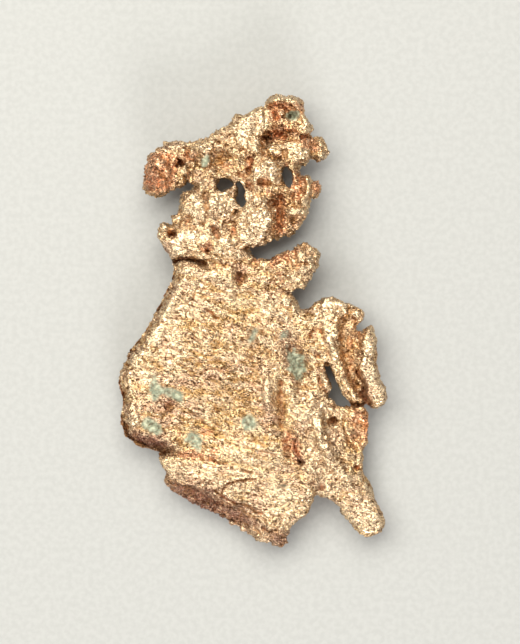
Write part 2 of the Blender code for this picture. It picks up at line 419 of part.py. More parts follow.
def inside(places, outline):
    """How far inside an outline each point lies in plan, less than 0 outside: the distance to the nearest
    side, its sign from the number of sides that a line towards +X crosses."""
    x, y = places[:, 0], places[:, 1]
    nearest = np.full(len(places), np.inf)
    within = np.zeros(len(places), bool)
    for (x0, y0), (x1, y1) in zip(outline, outline[1:] + outline[:1]):
        dx, dy = x1 - x0, y1 - y0
        t = np.clip(((x - x0) * dx + (y - y0) * dy) / (dx * dx + dy * dy), 0, 1)
        nearest = np.minimum(nearest, np.hypot(x - x0 - t * dx, y - y0 - t * dy))
        if y0 != y1:
            within ^= ((y0 > y) != (y1 > y)) & (x < x0 + (y - y0) * dx / dy)
    return np.where(within, nearest, -nearest)


def roughen(obj, name, size, strength, group):
    texture = bpy.data.textures.new(name, "CLOUDS")
    texture.noise_scale = size * MM
    texture.noise_depth = 1
    displace = obj.modifiers.new(name, "DISPLACE")
    displace.texture = texture
    displace.texture_coords = "LOCAL"
    displace.mid_level = 0.5
    displace.strength = strength * MM
    displace.vertex_group = group


# ---------------------------------------------------------------------------------------------------
# Build
# ---------------------------------------------------------------------------------------------------
for obj in list(bpy.data.objects):
    bpy.data.objects.remove(obj)
parts = new_collection("native_copper_nugget")
lumps = new_collection("lumps")
cutters = new_collection("cutters")

# The lobes, nodules and ridges overlap, and fuse into one skin.
ingredients = [slab(name, *lobe, lumps) for name, lobe in LOBES.items()]
ingredients += [ball(f"nodule_{i}", n[:3], n[3:], lumps) for i, n in enumerate(NODULES)]
ingredients += [tube(name, path, lumps) for name, path in RIDGES.items()]
nugget = bpy.data.objects.new("copper_nugget", baked(ingredients))
parts.objects.link(nugget)
fuse(nugget, VOXEL)

# Openings, crevices and pits are cut out of it.
knives = [slab(name, -3.0, 16.0, 0.0, outline, cutters) for name, outline in HOLES.items()]
for name, (half, path) in CREVICES.items():
    for step in range(7):
        knives.append(tube(f"{name}_{step}", [(x, y, z + half + step * 1.1, half * (1 + 0.12 * step))
                                              for x, y, z in path], cutters))
for i, (x, y, bottom, radius) in enumerate(PITS):
    knives.append(ball(f"pit_{i}", (x, y, bottom + 4.0), (radius, radius, 4.0), cutters))
cutter = bpy.data.objects.new("knives", baked(knives))
cutters.objects.link(cutter)
fuse(cutter, 0.2)
cut = nugget.modifiers.new("openings", "BOOLEAN")
cut.operation = "DIFFERENCE"
cut.solver = "EXACT"
cut.object = cutter
settle(nugget)
fuse(nugget, VOXEL)
smooth(nugget, 0.5, 3)

# The upper face swells and sinks; the ledge's outer side falls away from its crest.
places, normals = points_of(nugget)
facing_up = np.clip(normals[:, 2], 0, 1) ** 0.7
for swell in SWELLS:
    places[:, 2] += facing_up * mound(places, *swell)
past = np.interp(places[:, 0], *LEDGE_CREST) - places[:, 1]
on_ledge = np.clip((2.5 - places[:, 0]) / 5, 0, 1)
how_high = np.clip((places[:, 2] - 1.2) / (LEDGE_TOP - 1.2), 0, 1)
places[:, 2] -= how_high * on_ledge * np.clip(past / LEDGE_REACH, 0, 1) * LEDGE_FALL

# The foot curls up and draws in towards the outline, the underside rolls, and the whole body is bowed.
wall = np.flatnonzero(np.abs(normals[:, 2]) < 0.35)
outline = kdtree.KDTree(len(wall))
for index in wall:
    outline.insert((places[index, 0], places[index, 1], 0), int(index))
outline.balance()
depth = np.clip((WAIST - places[:, 2]) / WAIST, 0, 1)
away = np.array([outline.find((x, y, 0))[2] for x, y in places[:, :2]])
facing_down = np.clip(-normals[:, 2], 0, 1) ** 0.7
places[:, :2] -= normals[:, :2] * (UNDERCUT * depth**1.6)[:, None]
places[:, 2] += EDGE_LIFT * np.exp(-((away / EDGE_REACH) ** 2)) * np.clip(depth * 1.6, 0, 1)
for roll in BELLY:
    places[:, 2] += facing_down * mound(places, *roll)
for bow in BOWS:
    places[:, 2] += mound(places, *bow)
put_points(nugget, places)

# Rough where the copper is spongy, nearly smooth on the worn plate.
places, normals = points_of(nugget)
spongy = 1 / (1 + np.exp(-(places[:, 1] - 13.0) / 1.5))
folded = 1 / (1 + np.exp(-(places[:, 0] - 11.0) / 1.2)) * (places[:, 1] > -18)
weight = np.clip(0.3 + 0.7 * np.maximum(spongy, folded), 0, 1)
weight = weight * np.where(normals[:, 2] < -0.3, 0.4, 1.0)
group = nugget.vertex_groups.new(name="rough")
for index, value in enumerate(weight):
    group.add([index], float(value), "REPLACE")
roughen(nugget, "billows", 4.6, 1.2, "rough")
roughen(nugget, "wrinkles", 2.2, 0.7, "rough")
settle(nugget)
fuse(nugget, VOXEL)
smooth(nugget, 0.4, 2)
keep_largest(nugget)

# The plates step up and the pockets step down from the rough skin.
places, normals = points_of(nugget)
facing_up = np.clip(normals[:, 2], 0, 1) ** 0.7
lift = np.zeros(len(places))
for height, outline in PLATES.values():
    lift = np.maximum(lift, height * np.clip(inside(places, outline) / PLATE_EDGE + 0.5, 0, 1))
drop = np.zeros(len(places))
for depth, outline in POCKETS.values():
    drop = np.maximum(drop, depth * np.clip(inside(places, outline) / PLATE_EDGE + 0.5, 0, 1))
places[:, 2] += facing_up * (lift - drop)
put_points(nugget, places)

# Set to its full length and width, then thin the skin out.
places, normals = points_of(nugget)
low, high = places.min(axis=0), places.max(axis=0)
middle = (low + high) / 2
places[:, 0] = (places[:, 0] - middle[0]) * WIDTH / (high - low)[0]
places[:, 1] = (places[:, 1] - middle[1]) * LENGTH / (high - low)[1]
put_points(nugget, places)
triangles = sum(len(face.vertices) - 2 for face in nugget.data.polygons)
thin = nugget.modifiers.new("thin", "DECIMATE")
thin.ratio = FACETS / triangles
thin.use_collapse_triangulate = True
settle(nugget)

# The worn flats it rests on are cut level.
floor = bpy.data.objects.new("level", bpy.data.meshes.new("level"))
cutters.objects.link(floor)
block = bmesh.new()
bmesh.ops.create_cube(block, size=1)
bmesh.ops.scale(block, vec=(0.2, 0.2, 0.02), verts=block.verts)
bmesh.ops.translate(block, vec=(0, 0, -0.01), verts=block.verts)
block.to_mesh(floor.data)
block.free()
level = nugget.modifiers.new("level", "BOOLEAN")
level.operation = "DIFFERENCE"
level.solver = "EXACT"
level.object = floor
settle(nugget)

material = bpy.data.materials.new("native_copper")
material.use_nodes = True
shader = material.node_tree.nodes["Principled BSDF"]
shader.inputs["Base Color"].default_value = (0.80, 0.42, 0.22, 1)
shader.inputs["Metallic"].default_value = 1.0
shader.inputs["Roughness"].default_value = 0.42
nugget.data.materials.clear()
nugget.data.materials.append(material)

for obj in list(lumps.objects):
    bpy.data.objects.remove(obj)
bpy.data.collections.remove(lumps)
for obj in cutters.objects:
    obj.hide_render = True
    obj.display_type = "WIRE"
cutters.hide_render = True
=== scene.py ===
import bmesh
import bpy
import numpy as np
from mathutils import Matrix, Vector


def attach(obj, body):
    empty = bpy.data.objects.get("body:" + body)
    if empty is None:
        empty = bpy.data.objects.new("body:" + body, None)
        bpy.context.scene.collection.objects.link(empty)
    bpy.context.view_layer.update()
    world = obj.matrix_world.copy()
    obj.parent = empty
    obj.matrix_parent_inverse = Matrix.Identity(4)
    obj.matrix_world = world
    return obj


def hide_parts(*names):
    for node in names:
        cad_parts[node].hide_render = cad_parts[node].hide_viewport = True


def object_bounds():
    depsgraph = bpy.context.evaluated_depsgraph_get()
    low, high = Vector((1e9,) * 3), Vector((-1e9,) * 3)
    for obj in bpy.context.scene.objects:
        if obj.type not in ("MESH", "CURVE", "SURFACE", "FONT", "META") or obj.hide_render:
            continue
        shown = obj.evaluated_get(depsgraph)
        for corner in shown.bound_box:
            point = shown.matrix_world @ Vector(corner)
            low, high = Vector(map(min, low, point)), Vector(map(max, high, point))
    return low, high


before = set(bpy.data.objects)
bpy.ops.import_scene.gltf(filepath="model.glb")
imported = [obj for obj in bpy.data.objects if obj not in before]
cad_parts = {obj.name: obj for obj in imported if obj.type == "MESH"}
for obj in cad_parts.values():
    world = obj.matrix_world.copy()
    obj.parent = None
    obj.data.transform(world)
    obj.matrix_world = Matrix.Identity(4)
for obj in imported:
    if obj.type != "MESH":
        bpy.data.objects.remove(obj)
cad_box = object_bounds()

# ----------------------------------------------------------------------
# Nugget body: one lump of native copper, grown as a sheet with spongy branches, then rolled and worn in
# a stream. It is solid metal: cream and rose where it is rubbed, orange and red-brown in its hollows,
# which also carry painted shade.
# Nothing is fixed to it, and it lies loose on the worn flats of its broad side.
# ----------------------------------------------------------------------
MM = 0.001  # metres; every other size in this section is in millimetres
SKIN_GRID = 0.22  # spacing of the points that carry the relief
MOST_TRIANGLES = 194000
RUBS = 6  # rounds of smoothing that turn the solid's facets into rounded lumps
PLUG_ENDS = (-2.0, 14.0)  # heights of a plug's foot and head
PLUG_LEVEL = 8.0  # height at which a plug has the outline's own size
PLUG_LEAN = 420.0  # drop over which a plug would grow to twice its outline
# The openings right through the crown, as outlines of (x, y).
HOLES = {
    "neck_hole": [(-6.7, 28.7), (-5.4, 28.6), (-4.3, 28.2), (-3.7, 27.3), (-4.6, 26.6), (-5.6, 26.2),
        (-6.2, 25.6), (-6.7, 26.3), (-6.8, 27.5)],
    "slot_hole": [(-3.6, 27.6), (-2.6, 28.2), (-1.9, 27), (-1.5, 26), (-1.8, 25), (-1.2, 24), (-1.7, 23),
        (-2.4, 22.6), (-3.1, 23.6), (-3.3, 24.6), (-3, 25.6), (-3, 26.7)],
    "crown_hole": [(6, 31.2), (6.8, 30.9), (7.7, 30), (8, 28.8), (7.7, 27.2), (7.2, 26.4), (6.7, 27.1),
        (6.1, 28.5), (6, 29.6), (6.5, 30.2)],
}


def settled(obj):
    """Replaces the object's mesh by what its modifiers make of it."""
    graph = bpy.context.evaluated_depsgraph_get()
    obj.data = bpy.data.meshes.new_from_object(obj.evaluated_get(graph))
    obj.modifiers.clear()


def lean_prism(name, outline):
    """A plug for cutting an opening: its outline at two heights, spread a little from the middle as it
    goes down, so that the opening can be seen through from above."""
    rings = []
    for height in PLUG_ENDS:
        lean = 1 + (PLUG_LEVEL - height) / PLUG_LEAN
        rings += [(x * lean * MM, y * lean * MM, height * MM) for x, y in outline]
    count = len(outline)
    sides = [(k, (k + 1) % count, count + (k + 1) % count, count + k) for k in range(count)]
    ends = [tuple(range(count))[::-1], tuple(range(count, 2 * count))]
    mesh = bpy.data.meshes.new(name)
    mesh.from_pydata(rings, [], sides + ends)
    plug = bmesh.new()
    plug.from_mesh(mesh)
    bmesh.ops.recalc_face_normals(plug, faces=plug.faces)
    plug.to_mesh(mesh)
    plug.free()
    made = bpy.data.objects.new(name, mesh)
    bpy.context.scene.collection.objects.link(made)
    return made


def rough_casting(node, name):
    """The solid's own surface, merged into one shell, opened right through by plugs, filled again on an
    even grid and rubbed smooth, so that its flat facets become rounded lumps."""
    obj = bpy.data.objects.new(name, node.data.copy())
    bpy.context.scene.collection.objects.link(obj)
    shell = bmesh.new()
    shell.from_mesh(obj.data)
    bmesh.ops.remove_doubles(shell, verts=shell.verts, dist=1e-7)
    shell.to_mesh(obj.data)
    shell.free()
    plugs = [lean_prism(opening, outline) for opening, outline in HOLES.items()]
    for plug in plugs:
        cut = obj.modifiers.new(plug.name, "BOOLEAN")
        cut.operation = "DIFFERENCE"
        cut.object = plug
    settled(obj)
    for plug in plugs:
        bpy.data.objects.remove(plug)
    fill = obj.modifiers.new("fill", "REMESH")
    fill.mode = "VOXEL"
    fill.voxel_size = SKIN_GRID * MM
    rub = obj.modifiers.new("rub", "SMOOTH")
    rub.factor = 0.5
    rub.iterations = RUBS
    settled(obj)
    return obj


def points_of(obj):
    """Places of the mesh's points in millimetres, and their outward directions."""
    mesh = obj.data
    places = np.empty(len(mesh.vertices) * 3)
    mesh.vertices.foreach_get("co", places)
    outward = np.empty(len(mesh.vertices) * 3, np.float32)
    mesh.vertex_normals.foreach_get("vector", outward)
    return places.reshape(-1, 3) / MM, outward.reshape(-1, 3).astype(float)


def put_points(obj, places):
    """Moves the mesh's points to places given in millimetres."""
    obj.data.vertices.foreach_set("co", (places * MM).ravel())
    obj.data.update()


DRAWS = 4096  # random slopes and seeds, shared out among the noises' cells
SLOPES = np.random.default_rng(11).normal(size=(DRAWS, 3))
SLOPES /= np.linalg.norm(SLOPES, axis=1, keepdims=True)
SEEDS = np.random.default_rng(12).random((DRAWS, 3))
RIPPLE_GAIN = 1.7  # brings the swells to about -1 to 1


def spot(cell, salt):
    """Which draw each whole-number cell has: its coordinates and the salt times large primes, mixed."""
    mixed = cell[:, 0] * 73856093 ^ cell[:, 1] * 19349663 ^ cell[:, 2] * 83492791 ^ salt * 2654435761
    return (mixed ^ mixed >> 13) & (DRAWS - 1)


def ripple(places, size, salt):
    """Smooth noise, about -1 to 1, with swells of this size: each corner of a cubic lattice has a slope of
    its own, and a point blends its eight corners' slopes by the curve 6t^5 - 15t^4 + 10t^3. Another salt
    gives another pattern."""
    scaled = places / size
    cell = np.floor(scaled).astype(np.int64)
    part = scaled - cell
    blend = part**3 * (part * (part * 6 - 15) + 10)
    total = np.zeros(len(places))
    for corner in np.ndindex(2, 2, 2):
        slope = SLOPES[spot(cell + corner, salt)]
        share = np.where(corner, blend, 1 - blend).prod(axis=1)
        total += ((part - corner) * slope).sum(axis=1) * share
    return total * RIPPLE_GAIN


def nodules(places, size, salt):
    """Distances, in sizes, to the nearest and the next nearest of seeds scattered one to a cube."""
    scaled = places / size
    cell = np.floor(scaled).astype(np.int64)
    first = np.full(len(places), 9.0)
    second = np.full(len(places), 9.0)
    for corner in np.ndindex(3, 3, 3):
        near = cell + np.array(corner) - 1
        gap = (((near + SEEDS[spot(near, salt)]) - scaled) ** 2).sum(axis=1)
        second = np.minimum(second, np.maximum(first, gap))
        first = np.minimum(first, gap)
    return np.sqrt(first), np.sqrt(second)


def turned(places, x, y, turn):
    """How far each point lies from (x, y) in plan, along and across a line turned this far from +X."""
    angle = np.radians(turn)
    east, north = places[:, 0] - x, places[:, 1] - y
    along = east * np.cos(angle) + north * np.sin(angle)
    across = north * np.cos(angle) - east * np.sin(angle)
    return along, across


def mound(places, x, y, reach_x, reach_y, height, turn=0):
    """A bell over the plan: height times e to minus the squared distance measured in reaches."""
    along, across = turned(places, x, y, turn)
    return height * np.exp(-((along / reach_x) ** 2) - (across / reach_y) ** 2)


def dome(places, x, y, reach_x, reach_y, height, turn=0):
    """A rounded button over the plan: height times the square root of one less the squared distance in
    reaches, so that it has a clear edge."""
    along, across = turned(places, x, y, turn)
    left = 1 - (along / reach_x) ** 2 - (across / reach_y) ** 2
    return height * np.sqrt(np.clip(left, 0, 1))


def off_stretch(places, start, end):
    """How far along a straight stretch the place nearest to each point lies, 0 to 1, and how far the point
    lies from that place in x and in y."""
    dx, dy = end[0] - start[0], end[1] - start[1]
    east, north = places[:, 0] - start[0], places[:, 1] - start[1]
    share = np.clip((east * dx + north * dy) / (dx * dx + dy * dy), 0, 1)
    return share, east - share * dx, north - share * dy


def off_path(places, path):
    """Distance in plan from each point to the nearest stretch of a path of (x, y)."""
    best = np.full(len(places), 1e9)
    for start, end in zip(path, path[1:]):
        _, east, north = off_stretch(places, start, end)
        best = np.minimum(best, east**2 + north**2)
    return np.sqrt(best)


def ramp(value, low, high):
    """0 below low, 1 above high, and the curve 3t^2 - 2t^3 between."""
    t = np.clip((value - low) / (high - low), 0, 1)
    return t * t * (3 - 2 * t)


# Buttons raised on the upper side: (x, y, reach x, reach y, height), and the degrees of its turn, if any.
LUMPS = [
    # arm
    (-18.6, 31.4, 1.4, 1.1, 0.55, 10), (-11.4, 33.4, 1.3, 1.1, 0.6), (-9.4, 32.1, 0.8, 1.4, 0.4, -15),
    (-13.3, 31, 0.55, 1.7, 0.5, -25), (-8.6, 34.4, 1.2, 0.5, 0.4, 10), (-18, 34, 0.75, 0.45, 0.35, 40),
    (-16.8, 34.6, 0.75, 0.45, 0.35, 40), (-15.6, 35.1, 0.75, 0.45, 0.35, 40),
    (-14.4, 35.4, 0.75, 0.45, 0.35, 40), (-13.2, 35.6, 0.75, 0.45, 0.35, 45),
    (-12, 35.6, 0.75, 0.45, 0.35, 45), (-10.8, 35.5, 0.75, 0.45, 0.35, 45),
    (-9.6, 35.4, 0.75, 0.45, 0.3, 45), (-19.6, 29.2, 1, 1.3, 0.4), (-20.2, 27.2, 1.2, 1, 0.35),
    (-17.4, 26.2, 1.3, 0.9, 0.3), (-6.6, 35.1, 1.3, 0.8, 0.35, 20),
    # crown
    (5.6, 41.6, 0.9, 0.9, 0.5), (10.2, 40, 0.8, 1.7, 0.45, 10), (10.8, 37.6, 1, 0.7, 0.5),
    (10.6, 35.6, 1.3, 1.1, 0.4), (-1.4, 37.8, 3.2, 2.4, 0.35, 40), (2.6, 40, 1.3, 2.4, 0.35, -20),
    (4.4, 34.1, 2, 1.5, 0.5, 10), (3.8, 30.2, 2, 2.1, 0.3), (9, 34, 1.7, 2.2, 0.35),
    (13.4, 35.1, 1.3, 1.2, 0.35), (14, 33, 1.1, 1, 0.35), (-3.8, 39, 1, 0.8, 0.4, 30),
    (-2, 40.4, 1, 0.8, 0.4, 30), (-0.2, 41.4, 1, 0.8, 0.4, 20), (1.6, 42.4, 1, 0.9, 0.4),
    (6, 29.2, 0.8, 1.4, 0.35), (11.4, 40.8, 0.9, 1, 0.35),
    # sponge
    (-12.4, 23.8, 1.8, 2.4, 0.4), (-6.2, 23.6, 2.8, 3.2, 0.25), (1.2, 20.8, 3.6, 4.6, 0.25, -8),
    (8.4, 22, 2, 0.9, 0.5, 5), (7.2, 19.8, 0.75, 0.7, 0.45), (8.8, 19.5, 0.75, 0.7, 0.45),
    (-17.6, 18.9, 1.1, 1.3, 0.4), (-12.2, 16.8, 4.4, 1.2, 0.35), (10.8, 26.4, 0.8, 2.8, 0.4),
    (13, 27.2, 1.1, 1.4, 0.4), (-1.2, 24.4, 1.2, 2, 0.35), (-0.2, 27.2, 0.9, 1.2, 0.3),
    (-5, 15.8, 1.6, 1.2, 0.35), (-1.6, 15.6, 1.4, 1.1, 0.35), (1.8, 15.2, 1.5, 1, 0.3),
    (-14.6, 14.4, 1.4, 1, 0.3), (-11.4, 14.4, 1.3, 0.9, 0.3),
    # knob
    (7.4, 12, 1.2, 1, 0.4), (9.4, 13.4, 1.2, 0.9, 0.45, 10), (11.4, 12.4, 0.9, 1.1, 0.4),
    (10, 10.4, 1.4, 0.9, 0.45), (12, 10.8, 0.8, 0.9, 0.35), (5.6, 10.8, 1.3, 0.8, 0.3, 30),
    (8.2, 8.3, 1.2, 0.9, 0.3), (3.4, 12, 1.2, 0.8, 0.3),
    # loop
    (14.6, -12.2, 1.1, 1.9, 0.4, 15), (20.2, -18.4, 0.9, 0.8, 0.45), (21.8, -19.1, 0.8, 0.8, 0.4),
    (25, -14.9, 1.4, 1.6, 0.4), (19.8, 3.6, 1.6, 0.7, 0.35, -10), (23.8, -3.7, 0.7, 1.4, 0.35, -10),
    (23.2, -7.7, 0.8, 1.6, 0.35), (23.8, -11.2, 0.8, 1.4, 0.35), (15.2, 2.4, 0.9, 2.4, 0.35),
    (15.6, -2.9, 0.9, 2.2, 0.35), (17, -7.2, 0.9, 1.8, 0.35, -30), (19.4, -10.9, 0.9, 1.6, 0.3, -30),
    (12.5, -2.7, 1.2, 1.1, 0.35), (20.4, 1.6, 1, 0.8, 0.35), (19.2, -0.8, 1.1, 0.8, 0.3),
    # plate
    (-19.8, -21.1, 0.9, 0.8, 0.4), (-18.4, -21.9, 0.8, 0.7, 0.35), (3, -14.1, 1.2, 3.6, 0.3),
    (12.8, -20.7, 1.5, 4.2, 0.3, -12), (-24, -19.7, 1.4, 2, 0.25), (-21.4, -24.2, 1.4, 0.8, 0.3),
    (9, 2.4, 1.4, 1.6, 0.3), (6.6, 4.4, 1.2, 1.4, 0.3),
    # ledge
    (-8.6, -38.1, 1.2, 0.7, 0.3, -30), (-4.2, -38.1, 1.8, 0.8, 0.35, -25), (-1, -39.9, 1.6, 0.8, 0.3, -25),
    (-12.6, -35.6, 1.2, 0.6, 0.3, -35), (-15, -33.5, 1.1, 0.6, 0.3, -35), (4.6, -43.9, 1.1, 0.9, 0.35),
    (6.8, -43.2, 1, 0.9, 0.3), (24.6, -39.7, 1.5, 1.6, 0.35), (20.6, -35.2, 1.3, 1.5, 0.3, -30),
]

# Creases, each a half width, a depth and a path of (x, y).
CREASES = {
    "neck_crack": (0.32, 1.6, [(-15.4, 12), (-14.4, 12.7), (-12.6, 12.6), (-11, 12.4), (-10, 12),
        (-9.4, 11.4)]),
    "neck_pocket": (0.3, 0.5, [(-1.8, 9.4), (-2.2, 8.4), (-2.8, 7.4)]),
    "tongue": (0.35, 0.8, [(-9.4, 25.4), (-9.4, 23.6), (-9.2, 22)]),
    "blister_foot": (0.4, 0.8, [(-8, 19.2), (-7.6, 17.9), (-7, 16.8)]),
    "blister_side": (0.6, 0.8, [(5.4, 25.4), (5.8, 23.2), (5.6, 20.4), (5, 17.6)]),
    "small_plate_edge": (0.35, 0.8, [(6.2, 20.8), (8.2, 20.5), (10.2, 21)]),
    "crescent_edge": (0.35, 0.9, [(9.8, 28.8), (10.1, 27.2), (9.8, 25.8)]),
    "inner": (0.3, 0.7, [(6, 24), (6.2, 22.8), (6, 21.6)]),
    "inner_2": (0.3, 0.6, [(3.2, 24.2), (3.8, 23.2), (4.6, 22.8)]),
    "arm_lump": (0.35, 0.9, [(-13.2, 34.4), (-13.1, 33.1), (-12.4, 32.1), (-11.2, 32)]),
    "arm_gap": (0.4, 1.1, [(-12.8, 29.6), (-13, 28), (-13.2, 26.4)]),
    "arm_low": (0.35, 0.8, [(-10.8, 31), (-9.8, 30.6), (-8.8, 31)]),
    "arm_red": (0.35, 0.7, [(-18.6, 29.8), (-17.4, 28.6), (-16, 27.8)]),
    "crown_v": (0.15, 0.8, [(1.6, 38.4), (2.4, 37.1), (3.2, 36.2), (4.8, 36.8), (6, 37.6), (7.4, 37.8)]),
    "crown_slot": (0.38, 1.1, [(-0.6, 32.4), (-0.4, 31.2), (-0.8, 30)]),
    "crown_shelf": (0.3, 0.8, [(9.6, 36.9), (10.8, 36.8), (12, 37)]),
    "crown_knob": (0.35, 0.9, [(11.6, 33.8), (12, 32.8), (13, 32.1)]),
    "crown_cap": (0.45, 0.8, [(3.4, 43), (5.4, 42.8), (7.4, 42.4)]),
    "crown_block": (0.35, 0.8, [(2.2, 35.1), (3, 33.4), (4.8, 32.4), (6.6, 32.8)]),
    "arch": (0.4, 0.9, [(1, 27.2), (1.8, 28), (2.8, 28.2), (3.6, 27.4)]),
    "step": (0.45, 0.3, [(-19, -25.5), (-16.2, -25.9), (-13.4, -26.2), (-10.4, -27.1), (-7.6, -27.8),
        (-5.2, -28.1)]),
    "fold_1": (0.28, 0.7, [(-7.6, -33.6), (-5, -35.6), (-1.6, -36.6), (1.8, -38.2)]),
    "fold_2": (0.22, 0.7, [(-6.2, -34.1), (-5, -32.2), (-2.6, -31.5), (0.6, -31.2)]),
    "fold_3": (0.25, 0.3, [(-2.4, -29.5), (-0.6, -29.9), (1.8, -30.5)]),
    "fold_4": (0.22, 0.25, [(1.8, -25.8), (3, -26.1), (4.6, -26.6)]),
    "fold_5": (0.3, 0.4, [(-11.4, -35.6), (-9, -36.6), (-6.2, -38.5), (-2.6, -40.5)]),
    "leg_seam": (0.15, 0.5, [(8.8, -22.9), (8.2, -24.2), (8.6, -25.9), (9.4, -27.2)]),
    "leg_side": (0.35, 0.5, [(18.4, -18.1), (18, -20.9), (19, -23.7), (20.8, -25.7)]),
    "slit_end": (0.3, 3.2, [(19, -15.9), (20.2, -16.4), (21.4, -16.4), (22.4, -16.5), (23.2, -16.9),
        (23.8, -17.5)]),
    "orange_arc": (0.25, 0.5, [(11.2, -2.9), (11.6, -1.9), (12.4, -1.4), (13.2, -1.5), (13.7, -2.3)]),
    "trough_wall": (0.3, 0.7, [(20.8, -0.7), (21.4, -3.1), (21.4, -5.7)]),
    "loop_split": (0.28, 0.6, [(16.2, -3.7), (17.4, -3.5)]),
    "leaf_foot": (0.3, 0.5, [(12.4, -6.1), (13, -6.9)]),
    "loop_crevice": (0.36, 1.6, [(23.3, -16.5), (22.6, -15.3), (21.9, -14.3), (22.2, -12.7), (21.9, -11.5),
        (21.2, -11.1), (20.8, -9.9)]),
    "leaf": (0.3, 0.6, [(13.2, -10.5), (13.6, -12.5), (14.8, -14.2)]),
    "valley": (0.45, 0.4, [(5.6, -11.7), (5.4, -14.7), (6, -17.7), (5.6, -20.7)]),
    "scratch": (0.24, 0.6, [(-9.2, 2.6), (-7, 0.8)]),
    "scratch_2": (0.18, 0.18, [(-5.7, -1), (-4.2, -1.1)]),
    "plate_arc": (0.24, 0.22, [(-9.4, 6.6), (-10.8, 7), (-11.6, 5.8), (-12, 4.2), (-13.2, 3.8)]),
    "plate_arc_2": (0.24, 0.22, [(-19.8, -5.9), (-18, -4.7), (-15.6, -5.5), (-14.4, -6.1)]),
    "plate_arc_3": (0.24, 0.22, [(-10.6, -10.5), (-9.4, -9.5), (-7.8, -9.2), (-6.2, -9.9)]),
    "plate_arc_4": (0.22, 0.2, [(-20.6, -11.1), (-18.6, -10.5), (-16.6, -11.1)]),
    "rim_1": (0.3, 0.35, [(-18, 6), (-17, 4.8), (-18.6, 2.8)]),
    "rim_2": (0.3, 0.35, [(-20.2, -0.1), (-19, 0.8), (-18, -0.1)]),
    "rim_3": (0.3, 0.35, [(-24.4, -6.2), (-22.8, -5.1), (-21.2, -5.5)]),
    "knob_split": (0.35, 0.7, [(6.4, 13.2), (7.6, 11.2), (9.4, 11.6), (10.6, 11.4)]),
    "tip": (0.3, 0.6, [(2, -41.2), (3.2, -41.9), (4.8, -41.7)]),
    "green_edge": (0.28, 0.35, [(7.6, -4.7), (8.8, -6.1), (8.6, -8.1), (10, -10.1)]),
}

# Round hollows, as (x, y, radius, depth).
HOLLOWS = [
    (-18, 28.8, 0.5, 0.8), (-19, 30, 0.4, 0.6), (-14.6, 31.8, 0.8, 0.5), (-11.6, 29.4, 0.6, 0.6),
    (-6.6, 32.6, 1.4, 0.7), (9.4, 43.2, 0.45, 0.6), (7.6, 41, 1.1, 1.1), (2.4, 33, 0.4, 0.6),
    (0.2, 33, 0.4, 0.6), (6.4, 33.4, 0.4, 0.6), (-1.8, 28.8, 0.7, 0.8), (-3.4, 22.2, 0.6, 0.8),
    (-9.6, 19.8, 0.6, 0.8), (-5.2, 19.2, 0.6, 0.7), (-3.8, 18.4, 0.9, 0.6), (-9, 14.4, 0.8, 0.25),
    (-16.2, 17.8, 0.8, 0.3), (-17, -16.7, 0.8, 0.35), (9.8, -27.9, 0.6, 0.9), (16.2, -19.5, 0.8, 0.9),
    (20.4, -27.1, 0.5, 0.6), (21, -28.9, 0.5, 0.6), (-2.3, 8.7, 0.6, 0.4), (-1, -19.9, 0.9, 0.3),
    (-7.4, -11.9, 0.7, 0.25), (10, -8.5, 1.2, 0.45), (6.2, -32.6, 0.6, 0.4), (11.8, -32.2, 0.5, 0.4),
    (13.6, -33.1, 0.5, 0.4), (4.4, 39, 0.6, 0.7), (9.4, 31.8, 0.5, 0.6), (11.8, 25.2, 0.5, 0.5),
    (3, 17.8, 0.6, 0.4), (-12.8, 20, 0.5, 0.5), (-7.4, 26.4, 0.6, 0.6),
]

